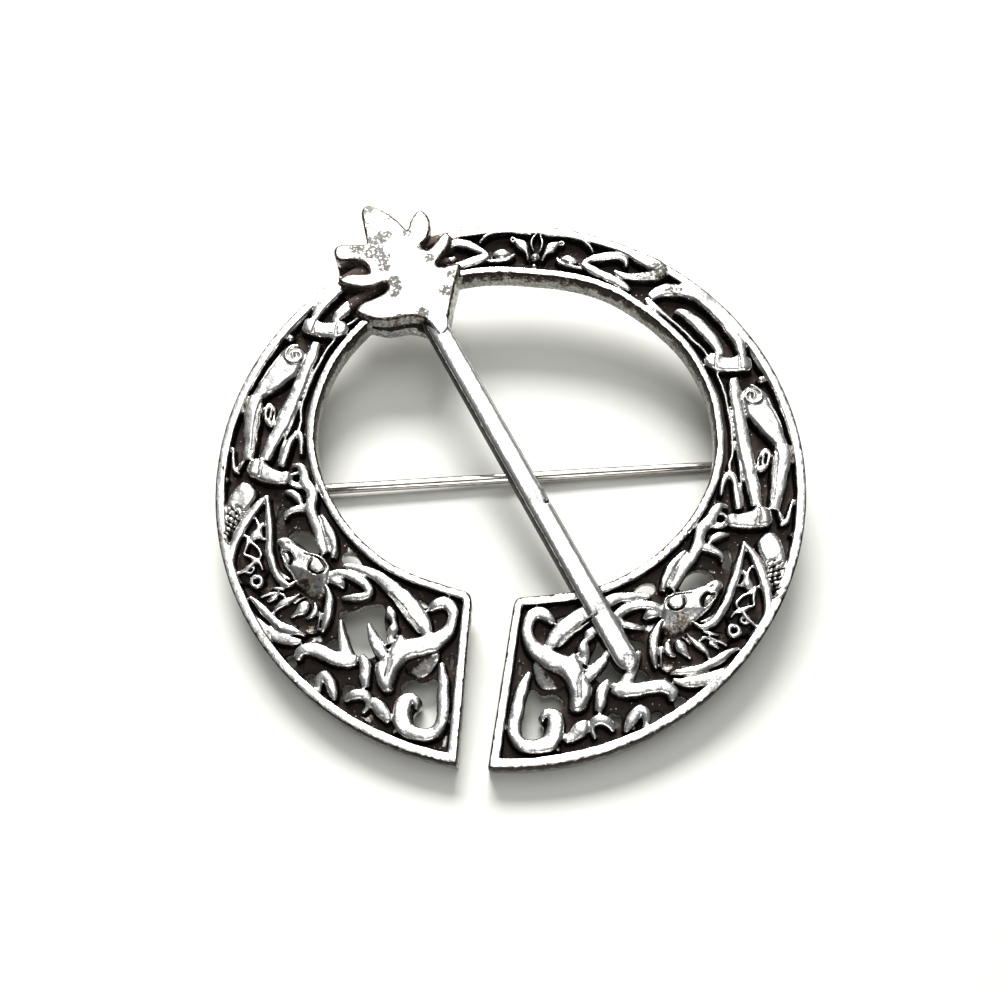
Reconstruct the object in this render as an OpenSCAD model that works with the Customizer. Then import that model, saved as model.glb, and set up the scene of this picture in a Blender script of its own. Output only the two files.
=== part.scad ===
/* [Ring] */
// Outer diameter of the ring
ring_d = 50; // [46:0.5:56]
// Thickness of the ring from its back to the top of its rims
ring_t = 2.2; // [1.9:0.1:3]
// Thickness of the floor behind the relief
floor_t = 1; // [0.8:0.05:1.3]
// Width of the outer rim
rim_w = 0.8; // [0.6:0.05:1]
// Width of the rim round the opening and along the gap
inner_rim_w = 0.7; // [0.5:0.05:0.9]
// Width of the gap between the terminals at the outer edge
gap_outer_w = 2.4; // [1.8:0.1:3]
// Width of the gap between the terminals at the opening
gap_inner_w = 3.4; // [2.8:0.1:4]

/* [Relief] */
// Width of a full strand of the interlace
strand_w = 1; // [0.8:0.05:1.2]
// Width of a strand's flat top, as a share of its width
strand_crown = 0.5; // [0.35:0.05:0.7]
// Pieces into which each stretch of a strand is divided
curve_steps = 2; // [1:1:3]

/* [Head and shank] */
// Length of the palmette head along its axis
head_l = 15; // [13:0.5:17]
// Width of the palmette head across its side petals
head_w = 11.6; // [10:0.4:13]
// Height of the head's middle above the ring's rims
head_rise = 1; // [0.6:0.1:1.5]
// Height of the petal tips above the ring's rims
petal_rise = 0.3; // [0.1:0.05:0.5]
// Length of the front shank from the head to its tip
shank_l = 35.3; // [32:0.2:37]
// Width of the front shank at its back
shank_w = 2.1; // [1.8:0.1:2.6]
// Depth of the front shank
shank_t = 1.7; // [1.3:0.1:2]
// Height of the shank's front above the ring's rims
shank_rise = 0.4; // [0.2:0.05:0.6]
// Angle of the shank and head to the ring's axis
shank_angle = 33.6; // [32:0.2:36]

/* [Pin] */
// Diameter of the wire at the hinge
wire_d = 0.95; // [0.85:0.01:1]
// Diameter of the wire at the catch
wire_end_d = 0.78; // [0.7:0.01:0.82]
// Length of the neck from the middle of the eye to the round wire
neck_l = 1.6; // [1.4:0.1:2]
// Length of the stem's plain round stretch, before it tapers
plain_l = 23; // [20:0.5:26]
// Length of the point
point_l = 4; // [3:0.5:6]
// Length of the stem past the middle of the catch
point_past = 1.8; // [1.4:0.1:2.2]
// Diameter of the flattened eye
eye_d = 1.9; // [1.8:0.05:2.1]
// Thickness of the flattened eye
eye_t = 0.9; // [0.8:0.05:1]
// Diameter of the rivet
rivet_d = 0.7; // [0.6:0.05:0.8]
// Clearance of the eye round the rivet and beside the ears
run_clear = 0.08; // [0.06:0.01:0.12]
// Clearance of the rivet in the ears
fit_clear = 0.03; // [0.02:0.01:0.05]

/* [Findings] */
// Thickness of the sheet of the hinge and the catch
sheet_t = 0.5; // [0.4:0.05:0.55]
// Layer of adhesive between the ring and a finding
glue_t = 0.05; // [0.03:0.01:0.1]
// Length of the hinge's base along the pin
hinge_base_l = 3; // [2.6:0.1:3.1]
// Length of the catch's base along the pin
catch_base_l = 4; // [3.4:0.1:4.4]
// Width of a finding's base across the pin
base_w = 3; // [2.6:0.1:3.2]
// Distance of the hinge to the left of the ring's axis
hinge_x = 20.4; // [19.6:0.1:20.8]
// Distance of the hinge below the ring's middle
hinge_y = 2.5; // [2.2:0.05:2.8]
// Distance of the catch to the right of the ring's axis
catch_x = 20.4; // [19.6:0.1:20.8]
// Distance of the catch above the ring's middle
catch_y = 5; // [4.6:0.05:5.4]
// Width of the catch along the pin
catch_l = 1.6; // [1.2:0.1:2]
// Clearance of the pin inside the catch
catch_clear = 0.11; // [0.1:0.01:0.15]

/* [Hidden] */

// One unit of the ring's drawing: a fiftieth of its diameter
u = ring_d / 50;
ring_r = ring_d / 2;
relief_t = ring_t - floor_t;
sink = relief_t / 4;

// Half width, as a share of the strand's width, under which a strand is a ridge
thin_share = 0.33;

// Opening, right half: x, y in units of the drawing
OPENING = [
    [0, 19.65], [2.5, 19.6], [5, 19.25], [7.5, 18.4], [10, 16.95], [12, 15.4], [14, 13.4],
    [15.6, 10.9], [16.7, 8.2], [17.25, 5], [17.2, 2.3], [16.6, -0.2], [15.5, -2.7], [14, -4.9],
    [12.5, -6.6], [10.7, -8.1], [8.7, -9.3], [6.5, -10.1], [4.4, -10.6], [2.7, -10.95]
];

// Pierced places, right half: each a closed outline of x, y in units of the drawing
HOLES = [
    // Between the beast's neck, the hip and the row of scrolls
    [[12.5, -13.6], [11.2, -13.3], [9.8, -12.6], [8.8, -12.7], [8.7, -14], [8.2, -15.6],
        [8.9, -16.9], [10, -17.3], [11, -16.9], [11.4, -15.4], [12.2, -14.6]],
    // Beside the first spike
    [[13.1, -16.3], [12.6, -15.8], [12, -15.7], [11.8, -16.5], [11.9, -17.1], [12.9, -17.1]],
    // Inside the heart
    [[6.5, -19.1], [6, -18.6], [5.4, -18.5], [4.8, -18.7], [4.2, -18.3], [3.7, -18.4],
        [3.4, -19.3], [3.4, -21.5], [3.8, -22.4], [4.6, -22.6], [5.1, -22], [5.1, -21.2],
        [4.6, -20.5], [5.1, -19.8], [6.3, -19.7]],
    // Over the beast's snout
    [[17.9, -7.6], [17.1, -6.8], [16.3, -6.8], [15.5, -7.4], [14.9, -8.6], [15.8, -8.7],
        [16.9, -8]],
    // Beside its brow
    [[13, -8.5], [12.4, -8.35], [11.8, -8.6], [11.3, -9.4], [12.2, -9.5], [13, -9.2]],
    // Over the snout's arch
    [[19, -4.9], [18.5, -4.9], [18, -5.4], [18.3, -6], [18.7, -6.5], [19.2, -6.2]],
    // Small ones in the row of scrolls
    [[14.4, -19.2], [13.9, -18.9], [13.4, -19.2], [13.4, -19.9], [14.2, -19.9]],
    [[16.2, -17.8], [15.6, -17.5], [15.2, -17.9], [15.3, -18.5], [16, -18.2]],
    [[11.2, -19.6], [10.3, -19.5], [10, -20], [10.4, -20.5], [11, -20.5]],
    // Slots beside the terminal's edge and under the limb
    [[2.9, -16.3], [2.65, -16.3], [2.6, -17.1], [2.85, -17.1]],
    [[6.3, -11.9], [5.8, -11.9], [5.2, -12.3], [5.7, -12.4]]
];

// Strands, right half, each a list of rows: x, y, half width as a share of the strand's width,
// top as a share of the relief's depth
STRANDS = [
    // Terminal: frame and hook of the heart
    [[3.5, -17.2, 0.2, 0.9], [3.1, -18.6, 0.35, 1], [2.9, -20.8, 0.4, 1], [3.1, -22.4, 0.4, 1],
        [4.4, -23, 0.4, 1], [5.6, -22.6, 0.4, 1], [6.05, -21.4, 0.45, 1], [5.9, -20.3, 0.45, 1],
        [5.2, -20.2, 0.35, 0.9], [4.95, -20.8, 0.25, 0.8]],
    // Terminal: strand round the hollow, hip and shin
    [[5.1, -12.9, 0.2, 0.8], [4.3, -12.15, 0.35, 1], [3.4, -12.5, 0.4, 1], [3.2, -13.8, 0.35, 1],
        [3.7, -15.2, 0.45, 1], [5, -16, 0.6, 1.05], [6.6, -16.5, 0.8, 1.1], [7.4, -17.8, 0.75, 1.1],
        [7.6, -19, 0.6, 1], [7.3, -20, 0.3, 0.8]],
    // Limb beside the inner rim
    [[12.9, -9.7, 0.25, 0.8], [11, -9.9, 0.3, 0.9], [9.5, -10.5, 0.4, 1], [8, -11.6, 0.55, 1.05],
        [6.7, -12.8, 0.65, 1.05], [5.6, -14, 0.6, 1], [4.8, -15, 0.3, 0.8]],
    // Lappet behind the beast's brow
    [[14.2, -11.3, 0.2, 0.8], [13.3, -10.65, 0.3, 0.9], [12.1, -10.5, 0.3, 0.9],
        [10.9, -11, 0.28, 0.9], [10, -11.9, 0.15, 0.7]],
    [[10.1, -11.9, 0.15, 0.7], [11.1, -12.3, 0.28, 0.8], [12.3, -12.6, 0.3, 0.8]],
    [[13.8, -11.35, 0.15, 0.6], [13.1, -11.3, 0.22, 0.7], [12.5, -11.7, 0.15, 0.6]],
    // Long back line and the other side of the wing
    [[20.1, -4.4, 0.2, 1], [19.7, -5.9, 0.3, 1], [19.3, -7.6, 0.3, 1], [18.8, -9.4, 0.28, 1],
        [18, -11, 0.26, 1], [17.2, -11.8, 0.24, 1], [16.4, -11.7, 0.16, 0.8]],
    [[20.1, -4.4, 0.2, 1], [20.9, -5.6, 0.28, 1], [21.6, -7.2, 0.3, 1], [22, -9, 0.26, 1],
        [22.1, -10.3, 0.2, 0.9]],
    // Wing filling
    [[20.4, -6.3, 0.15, 0.6], [20.9, -7.4, 0.2, 0.7], [21.3, -9, 0.2, 0.7], [20.6, -9.8, 0.2, 0.7]],
    [[19.9, -7.4, 0.15, 0.6], [20.2, -8.5, 0.22, 0.7], [19.5, -9.2, 0.2, 0.7],
        [19.1, -10.6, 0.2, 0.7]],
    // Fur
    [[19, -13, 0.2, 0.7], [17.7, -12.8, 0.22, 0.8], [16.5, -13.2, 0.22, 0.8]],
    [[18.6, -13.9, 0.2, 0.7], [17.2, -13.6, 0.22, 0.8], [15.9, -14, 0.2, 0.8]],
    [[17.9, -14.6, 0.2, 0.7], [16.5, -14.5, 0.22, 0.8], [15.1, -14.7, 0.2, 0.8]],
    [[15.7, -12.9, 0.18, 0.7], [14.9, -13.5, 0.22, 0.8], [14.7, -14.4, 0.2, 0.8]],
    // Leaf
    [[20.1, -13.5, 0.2, 0.8], [18.9, -14.1, 0.35, 1], [17.6, -15.1, 0.38, 1],
        [16.2, -15.7, 0.35, 1], [14.9, -15.8, 0.2, 0.8]],
    [[19.7, -14, 0.15, 0.7], [18.5, -15.4, 0.28, 0.8], [17, -16.3, 0.3, 0.8],
        [15.4, -16.5, 0.22, 0.8]],
    // Band beside the fur
    [[13.5, -12.3, 0.25, 0.9], [13, -13.4, 0.3, 1], [13.1, -14.7, 0.3, 1], [13.8, -16, 0.2, 0.8]],
    [[14.1, -13.1, 0.15, 0.7], [13.9, -14.2, 0.2, 0.7], [14.1, -15.3, 0.15, 0.7]],
    // Spikes
    [[12, -14.5, 0.2, 0.9], [11.6, -15.9, 0.25, 0.9], [11.1, -17.6, 0.3, 0.9]],
    [[9.7, -14.6, 0.2, 0.9], [9.1, -15.7, 0.26, 0.9], [8.1, -17.2, 0.3, 0.9]],
    // Knobbly strand
    [[8.5, -13.1, 0.2, 0.9], [8, -14, 0.35, 0.9], [7.6, -14.8, 0.25, 0.9],
        [7.9, -15.7, 0.35, 0.9], [7.6, -16.6, 0.2, 0.9]],
    // Row of scrolls along the outer rim
    [[14.8, -18.4, 0.2, 0.8], [14.5, -17.5, 0.4, 1], [13.5, -17.2, 0.45, 1.05],
        [12.2, -17.6, 0.45, 1.05], [11, -17.8, 0.45, 1], [10, -17.7, 0.3, 0.9]],
    [[12.9, -20.5, 0.2, 0.8], [12.8, -19.5, 0.3, 0.95], [12.4, -19.1, 0.3, 1],
        [11.9, -19.7, 0.3, 0.95], [11.5, -20.8, 0.2, 0.8]],
    [[9.6, -17.5, 0.25, 0.9], [9.3, -18.5, 0.38, 1], [9.5, -19.8, 0.3, 0.9]],
    [[10.8, -21.3, 0.2, 0.8], [10.2, -20.4, 0.3, 0.95], [9.4, -20.3, 0.3, 1],
        [9, -21.2, 0.28, 0.95], [8.6, -22.1, 0.2, 0.8]],
    [[7.2, -20, 0.2, 0.8], [7.9, -20.9, 0.3, 0.9], [7.4, -21.9, 0.28, 0.9], [6.5, -22.3, 0.2, 0.8]],
    // Long strand from the lower clamp to the beast's brow, with its branches
    [[18.5, -1.5, 0.2, 0.9], [17.7, -1.8, 0.32, 1], [17.1, -2.8, 0.34, 1], [16.4, -3.7, 0.34, 1],
        [16.2, -4.9, 0.34, 1], [15.7, -6.1, 0.32, 1], [15, -7.3, 0.32, 1], [14.4, -8.8, 0.3, 1]],
    [[16.4, -5, 0.2, 0.9], [17.3, -5.35, 0.28, 0.95], [18.1, -5.8, 0.24, 0.9],
        [18.4, -6.5, 0.15, 0.8]],
    [[18.5, -3.9, 0.15, 0.7], [17.8, -4.05, 0.25, 0.85], [17.1, -4.6, 0.2, 0.85]],
    [[15.1, -5.8, 0.15, 0.8], [14.2, -7, 0.24, 0.9], [13.6, -8.1, 0.24, 0.9],
        [13.5, -9.3, 0.2, 0.9]],
    // Arch under the lower clamp's inner end, and the thin ridge beside the inner rim
    [[19.4, -1.5, 0.18, 0.9], [19.2, 0.2, 0.22, 0.9], [18.7, 2, 0.22, 0.9], [18.6, 4, 0.18, 0.8],
        [18.4, 6.4, 0.16, 0.8], [18, 8.8, 0.16, 0.8], [17.5, 10.8, 0.15, 0.8]],
    [[18.5, 2.6, 0.15, 0.8], [18.1, 1.2, 0.2, 0.9], [17.9, -0.6, 0.2, 0.9]],
    // Straight bar between the clamps
    [[20.9, -1.2, 0.35, 1], [20.4, 2.2, 0.42, 1], [19.6, 6, 0.45, 1], [18.9, 9, 0.45, 1],
        [18.4, 11.3, 0.35, 0.9]],
    // Thigh, knee and shin
    [[20.9, 10, 0.3, 0.8], [21.2, 8.6, 0.55, 1], [21.7, 6.9, 0.85, 1.05], [22.7, 5, 0.6, 1.1],
        [22.9, 3.6, 0.45, 1], [22.7, 1.4, 0.45, 1], [22.5, -1.2, 0.4, 1]],
    // Knot between shin and bar
    [[21.9, 4, 0.15, 0.6], [21.8, 2.8, 0.25, 0.7], [21.2, 2.1, 0.22, 0.7], [21.1, 3.4, 0.15, 0.6]],
    // Ridge inside the outer rim
    [[20.6, 12, 0.14, 0.8], [22, 9, 0.16, 0.8], [23, 6.6, 0.16, 0.8], [23.6, 4.4, 0.12, 0.7]],
    // Small loop at the foot of the shin
    [[24, -0.2, 0.15, 0.7], [23.7, -1.6, 0.2, 0.8], [23.1, -1.7, 0.2, 0.8], [23.1, -0.6, 0.15, 0.7]],
    // Feather above the wing
    [[22, -3.6, 0.5, 0.8], [22.1, -4.8, 0.75, 1], [22.4, -6.2, 0.5, 0.9], [22.9, -8.6, 0.2, 0.7]],
    [[23.7, -4.4, 0.15, 0.7], [23.4, -6.2, 0.18, 0.8], [23.1, -7.9, 0.15, 0.7]],
    // Two strands above the upper clamp
    [[19.3, 12.9, 0.3, 0.9], [18.7, 14.6, 0.35, 1], [17.5, 16.5, 0.42, 1], [16, 18, 0.45, 1],
        [14.3, 19, 0.45, 1], [12.6, 19.3, 0.42, 1], [11.2, 18.8, 0.38, 1], [10.5, 18, 0.3, 0.9]],
    [[17.4, 12.9, 0.3, 0.9], [16.8, 14.3, 0.4, 1], [15.6, 15.8, 0.45, 1], [14.2, 16.7, 0.42, 1],
        [13.1, 16.9, 0.25, 0.9]],
    [[16.3, 12.8, 0.14, 0.7], [15, 14.2, 0.18, 0.8], [13.7, 15.3, 0.18, 0.8],
        [12.5, 16.5, 0.2, 0.8], [11.3, 17.2, 0.25, 0.8], [10.7, 17.9, 0.2, 0.8]],
    // Knot: outer loop, then inner loop
    [[6.9, 23.3, 0.25, 0.9], [8.6, 23.1, 0.35, 1], [10.3, 22.4, 0.38, 1], [11.6, 21.6, 0.42, 1],
        [12, 20.9, 0.42, 1], [11, 20.75, 0.38, 1], [9.3, 20.5, 0.32, 1], [8, 20.45, 0.28, 0.9],
        [7.3, 20.9, 0.2, 0.8]],
    [[8, 21.3, 0.2, 0.8], [8.3, 22.1, 0.28, 0.9], [7.4, 22.6, 0.34, 1], [6, 22.4, 0.36, 1],
        [4.9, 21.9, 0.32, 1], [4.3, 21.1, 0.28, 1], [5, 20.6, 0.3, 1], [6.3, 20.2, 0.34, 1],
        [7.8, 19.6, 0.34, 1], [8.9, 18.9, 0.25, 0.9]],
    // Arch beside the middle ornament, almond and teardrop
    [[5.2, 22.6, 0.15, 0.9], [4.5, 23.4, 0.22, 1], [3.4, 24, 0.22, 1], [2, 24.25, 0.2, 1],
        [0.9, 24.2, 0.15, 0.9]],
    [[4.1, 21.2, 0.2, 0.9], [3.2, 21.5, 0.38, 1], [2.1, 21.4, 0.24, 0.9], [1.8, 22.2, 0.15, 0.8]],
    [[2.1, 23.4, 0.15, 0.9], [1.6, 23, 0.34, 1], [1.2, 22.2, 0.3, 1], [0.7, 21.2, 0.15, 0.8]],
    [[0.75, 24, 0.12, 0.9], [0.85, 22.9, 0.14, 0.9], [0.5, 21.9, 0.12, 0.8]]
];

// Barrels of the two clamps, right half: x, y, half width, top
CLAMPS = [
    [[22.3, -1.6, 0.4, 1], [21.6, -1.85, 0.62, 1.2], [20.3, -2.35, 0.58, 1.2],
        [19, -2.6, 0.5, 1.1], [18.35, -2.5, 0.35, 1]],
    [[20, 12.5, 0.4, 1], [19.3, 12.35, 0.5, 1.2], [18, 12.2, 0.52, 1.2], [16.8, 12.35, 0.5, 1.2],
        [16.1, 12.8, 0.35, 1]]
];

// Masses, right half: top as a share of the relief's depth, then a closed outline of x, y
MASSES = [
    // The beast's head, seen from above
    [1.15, [[18.4, -8.1], [17.4, -7.9], [16.4, -8.6], [15.2, -8.9], [14.1, -8.9], [13.6, -9.7],
        [13.9, -10.8], [13.5, -12.2], [14.4, -12.7], [15.6, -12.3], [16.5, -11.6], [16.9, -10.8],
        [17.8, -10.1], [18.3, -9.2]]],
    // Slope at the top of the heart
    [0.7, [[4, -16.5], [6, -16.8], [5.4, -17.7], [4.8, -18.3], [4.3, -17.6]]]
];

// Rings and beads, right half: x, y, radius, half width, top
RINGS = [
    [14.85, -10.1, 0.6, 0.16, 1.35],
    [17.3, -9.5, 0.55, 0.16, 1.3],
    [19.5, -12, 0.6, 0.22, 0.85],
    [17.85, -2.95, 0.5, 0.2, 0.9]
];
BEADS = [
    [20.5, -10.3, 0.4, 0.7],
    [20.2, -11.2, 0.3, 0.7],
    [12, -20.7, 0.35, 0.6],
    [23.2, -5, 0.3, 0.6],
    [2.2, 23.8, 0.3, 0.9],
    [0, 21.7, 0.42, 1],
    [0, 20.9, 0.25, 0.8]
];

// Spiral at the hip: middle, first and last radius, turns, half width, top
HIP = [20.15, 9.1, 0.25, 0.95, 1.6, 0.17, 1.25];

// Petals, right half of the head: across and along at the root and at the tip, as shares of the
// head's width and length, then the half widths there as shares of its width
PETALS = [
    [0.10, 0.16, 0.44, 0.31, 0.13, 0.06],
    [0.12, 0.38, 0.435, 0.55, 0.09, 0.055],
    [0.10, 0.55, 0.345, 0.76, 0.09, 0.055],
    [0, 0.62, 0, 0.9, 0.17, 0.1]
];

// Outline of the head's body, right half: across and along, as shares of its width and length
HEAD = [
    [0.08, 0], [0.17, 0.1], [0.36, 0.18], [0.47, 0.27], [0.49, 0.36], [0.49, 0.55], [0.44, 0.64],
    [0.42, 0.75], [0.37, 0.79], [0.29, 0.77], [0.18, 0.71], [0.15, 0.75], [0.145, 0.81],
    [0.12, 0.9], [0.07, 0.97], [0, 0.995]
];

// Outline of its raised part, right half, with the clefts between the petals
CROWN = [
    [0.08, 0.02], [0.17, 0.105], [0.36, 0.18], [0.475, 0.28], [0.485, 0.33], [0.38, 0.35],
    [0.23, 0.365], [0.19, 0.39], [0.32, 0.42], [0.45, 0.49], [0.49, 0.55], [0.45, 0.58],
    [0.33, 0.555], [0.23, 0.53], [0.24, 0.58], [0.4, 0.685], [0.42, 0.75], [0.37, 0.79],
    [0.29, 0.765], [0.18, 0.705], [0.165, 0.765], [0.147, 0.84], [0.112, 0.92], [0.06, 0.98],
    [0, 0.995]
];

// Neck of the head, in units of the drawing
NECK = [-7.9, 13.3];

// Depths of the hinge's axis and of the wire in the catch, behind the ring's back
base_z = glue_t + sheet_t;
hinge_z = base_z + eye_d / 2 + run_clear + glue_t;
catch_r = wire_end_d / 2 + catch_clear;
catch_mouth = 65;
catch_low = (catch_r + sheet_t) * cos(catch_mouth) + 0.24 * sheet_t;
foot_y = sqrt(ring_r * ring_r - gap_outer_w * gap_outer_w / 4);
tilt = atan((hinge_z + eye_d / 2) / (foot_y - hinge_y));
catch_z = (foot_y + catch_y) * tan(tilt) - catch_low;
pin_run = sqrt(pow(hinge_x + catch_x, 2) + pow(hinge_y + catch_y, 2));
pin_turn = atan2(hinge_y + catch_y, hinge_x + catch_x);
pin_slope = atan2(catch_z - hinge_z, pin_run);
pin_l = pin_run / cos(pin_slope);
head_reach = NECK[1] * u + head_l * cos(shank_angle) + 0.055 * head_w;

// Point of a smooth curve through four rows, at share t of the middle stretch
function smooth(a, b, c, d, t) =
    0.5 * (2 * b + (c - a) * t + (2 * a - 5 * b + 4 * c - d) * t * t
    + (3 * b - a - 3 * c + d) * t * t * t);

// Turn at row i, in degrees
function bend(p, i) = i < 1 || i > len(p) - 2 ? 0 : let (
    a = [p[i][0] - p[i - 1][0], p[i][1] - p[i - 1][1]],
    b = [p[i + 1][0] - p[i][0], p[i + 1][1] - p[i][1]]
) acos(min(1, max(-1, (a * b) / (norm(a) * norm(b)))));

// Rows along a smooth curve, with n pieces to each stretch that turns
function open_rows(p, n) = [
    for (i = [0 : len(p) - 2])
        let (m = max(bend(p, i), bend(p, i + 1)) > 32 ? n : 1)
        for (k = [0 : m - 1])
            smooth(p[max(i - 1, 0)], p[i], p[i + 1], p[min(i + 2, len(p) - 1)], k / m),
    p[len(p) - 1]
];

function closed_rows(p, n) = [
    for (i = [0 : len(p) - 1]) for (k = [0 : n - 1])
        smooth(p[(i + len(p) - 1) % len(p)], p[i], p[(i + 1) % len(p)], p[(i + 2) % len(p)], k / n)
];

function ring_rows(x, y, r, w, h, n) = [
    for (i = [0 : n]) [x + r * cos(360 * i / n), y + r * sin(360 * i / n), w, h]
];

function spiral_rows(s, n) = [
    for (i = [0 : n]) let (t = i / n, a = -40 + 360 * s[4] * t, r = s[2] + (s[3] - s[2]) * t)
        [s[0] + r * cos(a), s[1] + r * sin(a), s[5], s[6]]
];

function mirrored(p) = [for (i = [0 : len(p) - 1]) [-p[len(p) - 1 - i][0], p[len(p) - 1 - i][1]]];

function unit(v) = v / max(norm(v), 0.000001);

// Raised strand along rows of x, y, half width and top: flat on top, or a ridge if it is thin
module strand(rows) {
    n = len(rows);
    base = floor_t - sink;
    thin = max([for (r = rows) r[2]]) < thin_share;
    m = thin ? 3 : 4;
    pts = [
        for (i = [0 : n - 1])
            let (
                a = rows[max(i - 1, 0)],
                b = rows[min(i + 1, n - 1)],
                t = unit([b[0] - a[0], b[1] - a[1]]),
                w = rows[i][2] * strand_w,
                z = floor_t + rows[i][3] * relief_t,
                crown = thin ? [[0, z]] : [[-strand_crown, z], [strand_crown, z]]
            )
            for (s = concat([[-1, base]], crown, [[1, base]]))
                [rows[i][0] * u - t[1] * w * s[0], rows[i][1] * u + t[0] * w * s[0], s[1]]
    ];
    faces = concat(
        [for (k = [1 : m - 2]) [0, k + 1, k]],
        [for (i = [0 : n - 2]) for (k = [0 : m - 1]) let (a = m * i + k, b = m * i + (k + 1) % m)
            [a, b, b + m]],
        [for (i = [0 : n - 2]) for (k = [0 : m - 1]) let (a = m * i + k, b = m * i + (k + 1) % m)
            [a, b + m, a + m]],
        [for (k = [1 : m - 2]) [m * n - m, m * n - m + k, m * n - m + k + 1]]
    );
    polyhedron(points = pts, faces = faces, convexity = 4);
}

// Raised mass with a smaller top
module mass(top, outline) {
    p = closed_rows(outline, 1) * u;
    z = relief_t * top;
    translate([0, 0, floor_t - sink])
        linear_extrude(sink + z * 0.65) polygon(p);
    translate([0, 0, floor_t - sink])
        linear_extrude(sink + z) offset(delta = -0.3 * strand_w) polygon(p);
}

module bead(x, y, r, top) {
    translate([x * u, y * u, floor_t - sink])
        cylinder(h = sink + relief_t * top, r1 = r * strand_w, r2 = 0.5 * r * strand_w, $fn = 6);
}

module opening_2d() {
    right = open_rows(OPENING, 2) * u;
    corner = [gap_inner_w / 2 + 0.35 * u, -11.15 * u];
    side = [gap_inner_w / 2, -11.7 * u];
    foot = [gap_outer_w / 2, -ring_r - 1];
    all = concat(right, [corner, side, foot]);
    polygon(concat(all, mirrored(all)));
}

module ring_2d() {
    difference() {
        circle(r = ring_r, $fn = 72);
        opening_2d();
    }
}

module rims_2d() {
    difference() {
        ring_2d();
        intersection() {
            circle(r = ring_r - rim_w, $fn = 72);
            difference() {
                circle(r = ring_r, $fn = 72);
                offset(delta = inner_rim_w) opening_2d();
            }
        }
    }
}

module half_relief() {
    for (s = STRANDS) strand(open_rows(s, curve_steps));
    for (s = CLAMPS) strand(open_rows(s, curve_steps));
    for (m = MASSES) mass(m[0], m[1]);
    for (r = RINGS) strand(ring_rows(r[0], r[1], r[2], r[3], r[4], 7));
    for (b = BEADS) bead(b[0], b[1], b[2], b[3]);
    strand(spiral_rows(HIP, 14));
}

module half_holes_2d() {
    for (h = HOLES) polygon(closed_rows(h, 1) * u);
}

module ring_body() {
    difference() {
        linear_extrude(floor_t) ring_2d();
        translate([0, 0, -1]) linear_extrude(floor_t + 2) {
            half_holes_2d();
            mirror([1, 0]) half_holes_2d();
        }
    }
    linear_extrude(ring_t) rims_2d();
    intersection() {
        union() {
            half_relief();
            mirror([1, 0, 0]) half_relief();
        }
        linear_extrude(ring_t + 2) ring_2d();
    }
}

// Raised petal from its root to its tip
module petal(p, side) {
    top = ring_t + petal_rise;
    hull() {
        translate([side * p[0] * head_w, p[1] * head_l, 0])
            cylinder(h = top + 0.35 * head_rise, r1 = p[4] * head_w, r2 = 0.45 * p[4] * head_w,
                $fn = 8);
        translate([side * p[2] * head_w, p[3] * head_l, 0])
            cylinder(h = top, r1 = p[5] * head_w, r2 = 0.5 * p[5] * head_w, $fn = 6);
    }
}

module head() {
    half = [for (p = HEAD) [p[0] * head_w, p[1] * head_l]];
    crown = [for (p = CROWN) [p[0] * head_w, p[1] * head_l]];
    linear_extrude(floor_t + sink) polygon(concat(half, mirrored(half)));
    linear_extrude(ring_t) polygon(concat(crown, mirrored(crown)));
    linear_extrude(ring_t + petal_rise) offset(delta = -0.35 * rim_w)
        polygon(concat(crown, mirrored(crown)));
    for (p = PETALS) for (side = [1, -1]) petal(p, side);
    // Domed middle
    hull() {
        translate([0, 0.17 * head_l, 0])
            cylinder(h = ring_t + 0.45 * head_rise, r1 = 0.17 * head_w, r2 = 0.08 * head_w, $fn = 12);
        translate([0, 0.4 * head_l, 0])
            cylinder(h = ring_t + head_rise, r1 = 0.23 * head_w, r2 = 0.1 * head_w, $fn = 12);
        translate([0, 0.62 * head_l, 0])
            cylinder(h = ring_t + 0.85 * head_rise, r1 = 0.18 * head_w, r2 = 0.07 * head_w,
                $fn = 12);
    }
}

module shank() {
    top = ring_t + shank_rise;
    r = shank_w / 2;
    difference() {
        hull() {
            for (y = [0.1 * head_l, r - shank_l])
                translate([0, y, top - shank_t]) {
                    cylinder(h = 0.765 * shank_t, r1 = r, r2 = 0.9 * r, $fn = 14);
                    cylinder(h = shank_t, r = 0.55 * r, $fn = 14);
                }
        }
        // Nick in the right edge
        translate([r, -0.52 * shank_l, top])
            rotate([0, 0, 20]) cube([0.26, 0.33, 0.43] * shank_w, center = true);
    }
}

module casting() {
    ring_body();
    translate(NECK * u) rotate([0, 0, shank_angle]) {
        head();
        shank();
    }
}

// Puts a piece of the ring's own frame into the resting pose, feet on the ground
module rest() {
    translate([0, (foot_y - head_reach) / 2 * cos(tilt), foot_y * sin(tilt)])
        rotate([tilt, 0, 0]) children();
}

// Frame of a finding: x along the pin, z out of the ring's back
module at_hinge() {
    translate([-hinge_x, -hinge_y, 0]) rotate([0, 0, pin_turn]) children();
}

module at_catch() {
    translate([catch_x, catch_y, 0]) rotate([0, 0, pin_turn]) children();
}

module brooch_casting() {
    color("silver") rest() casting();
}

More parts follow.
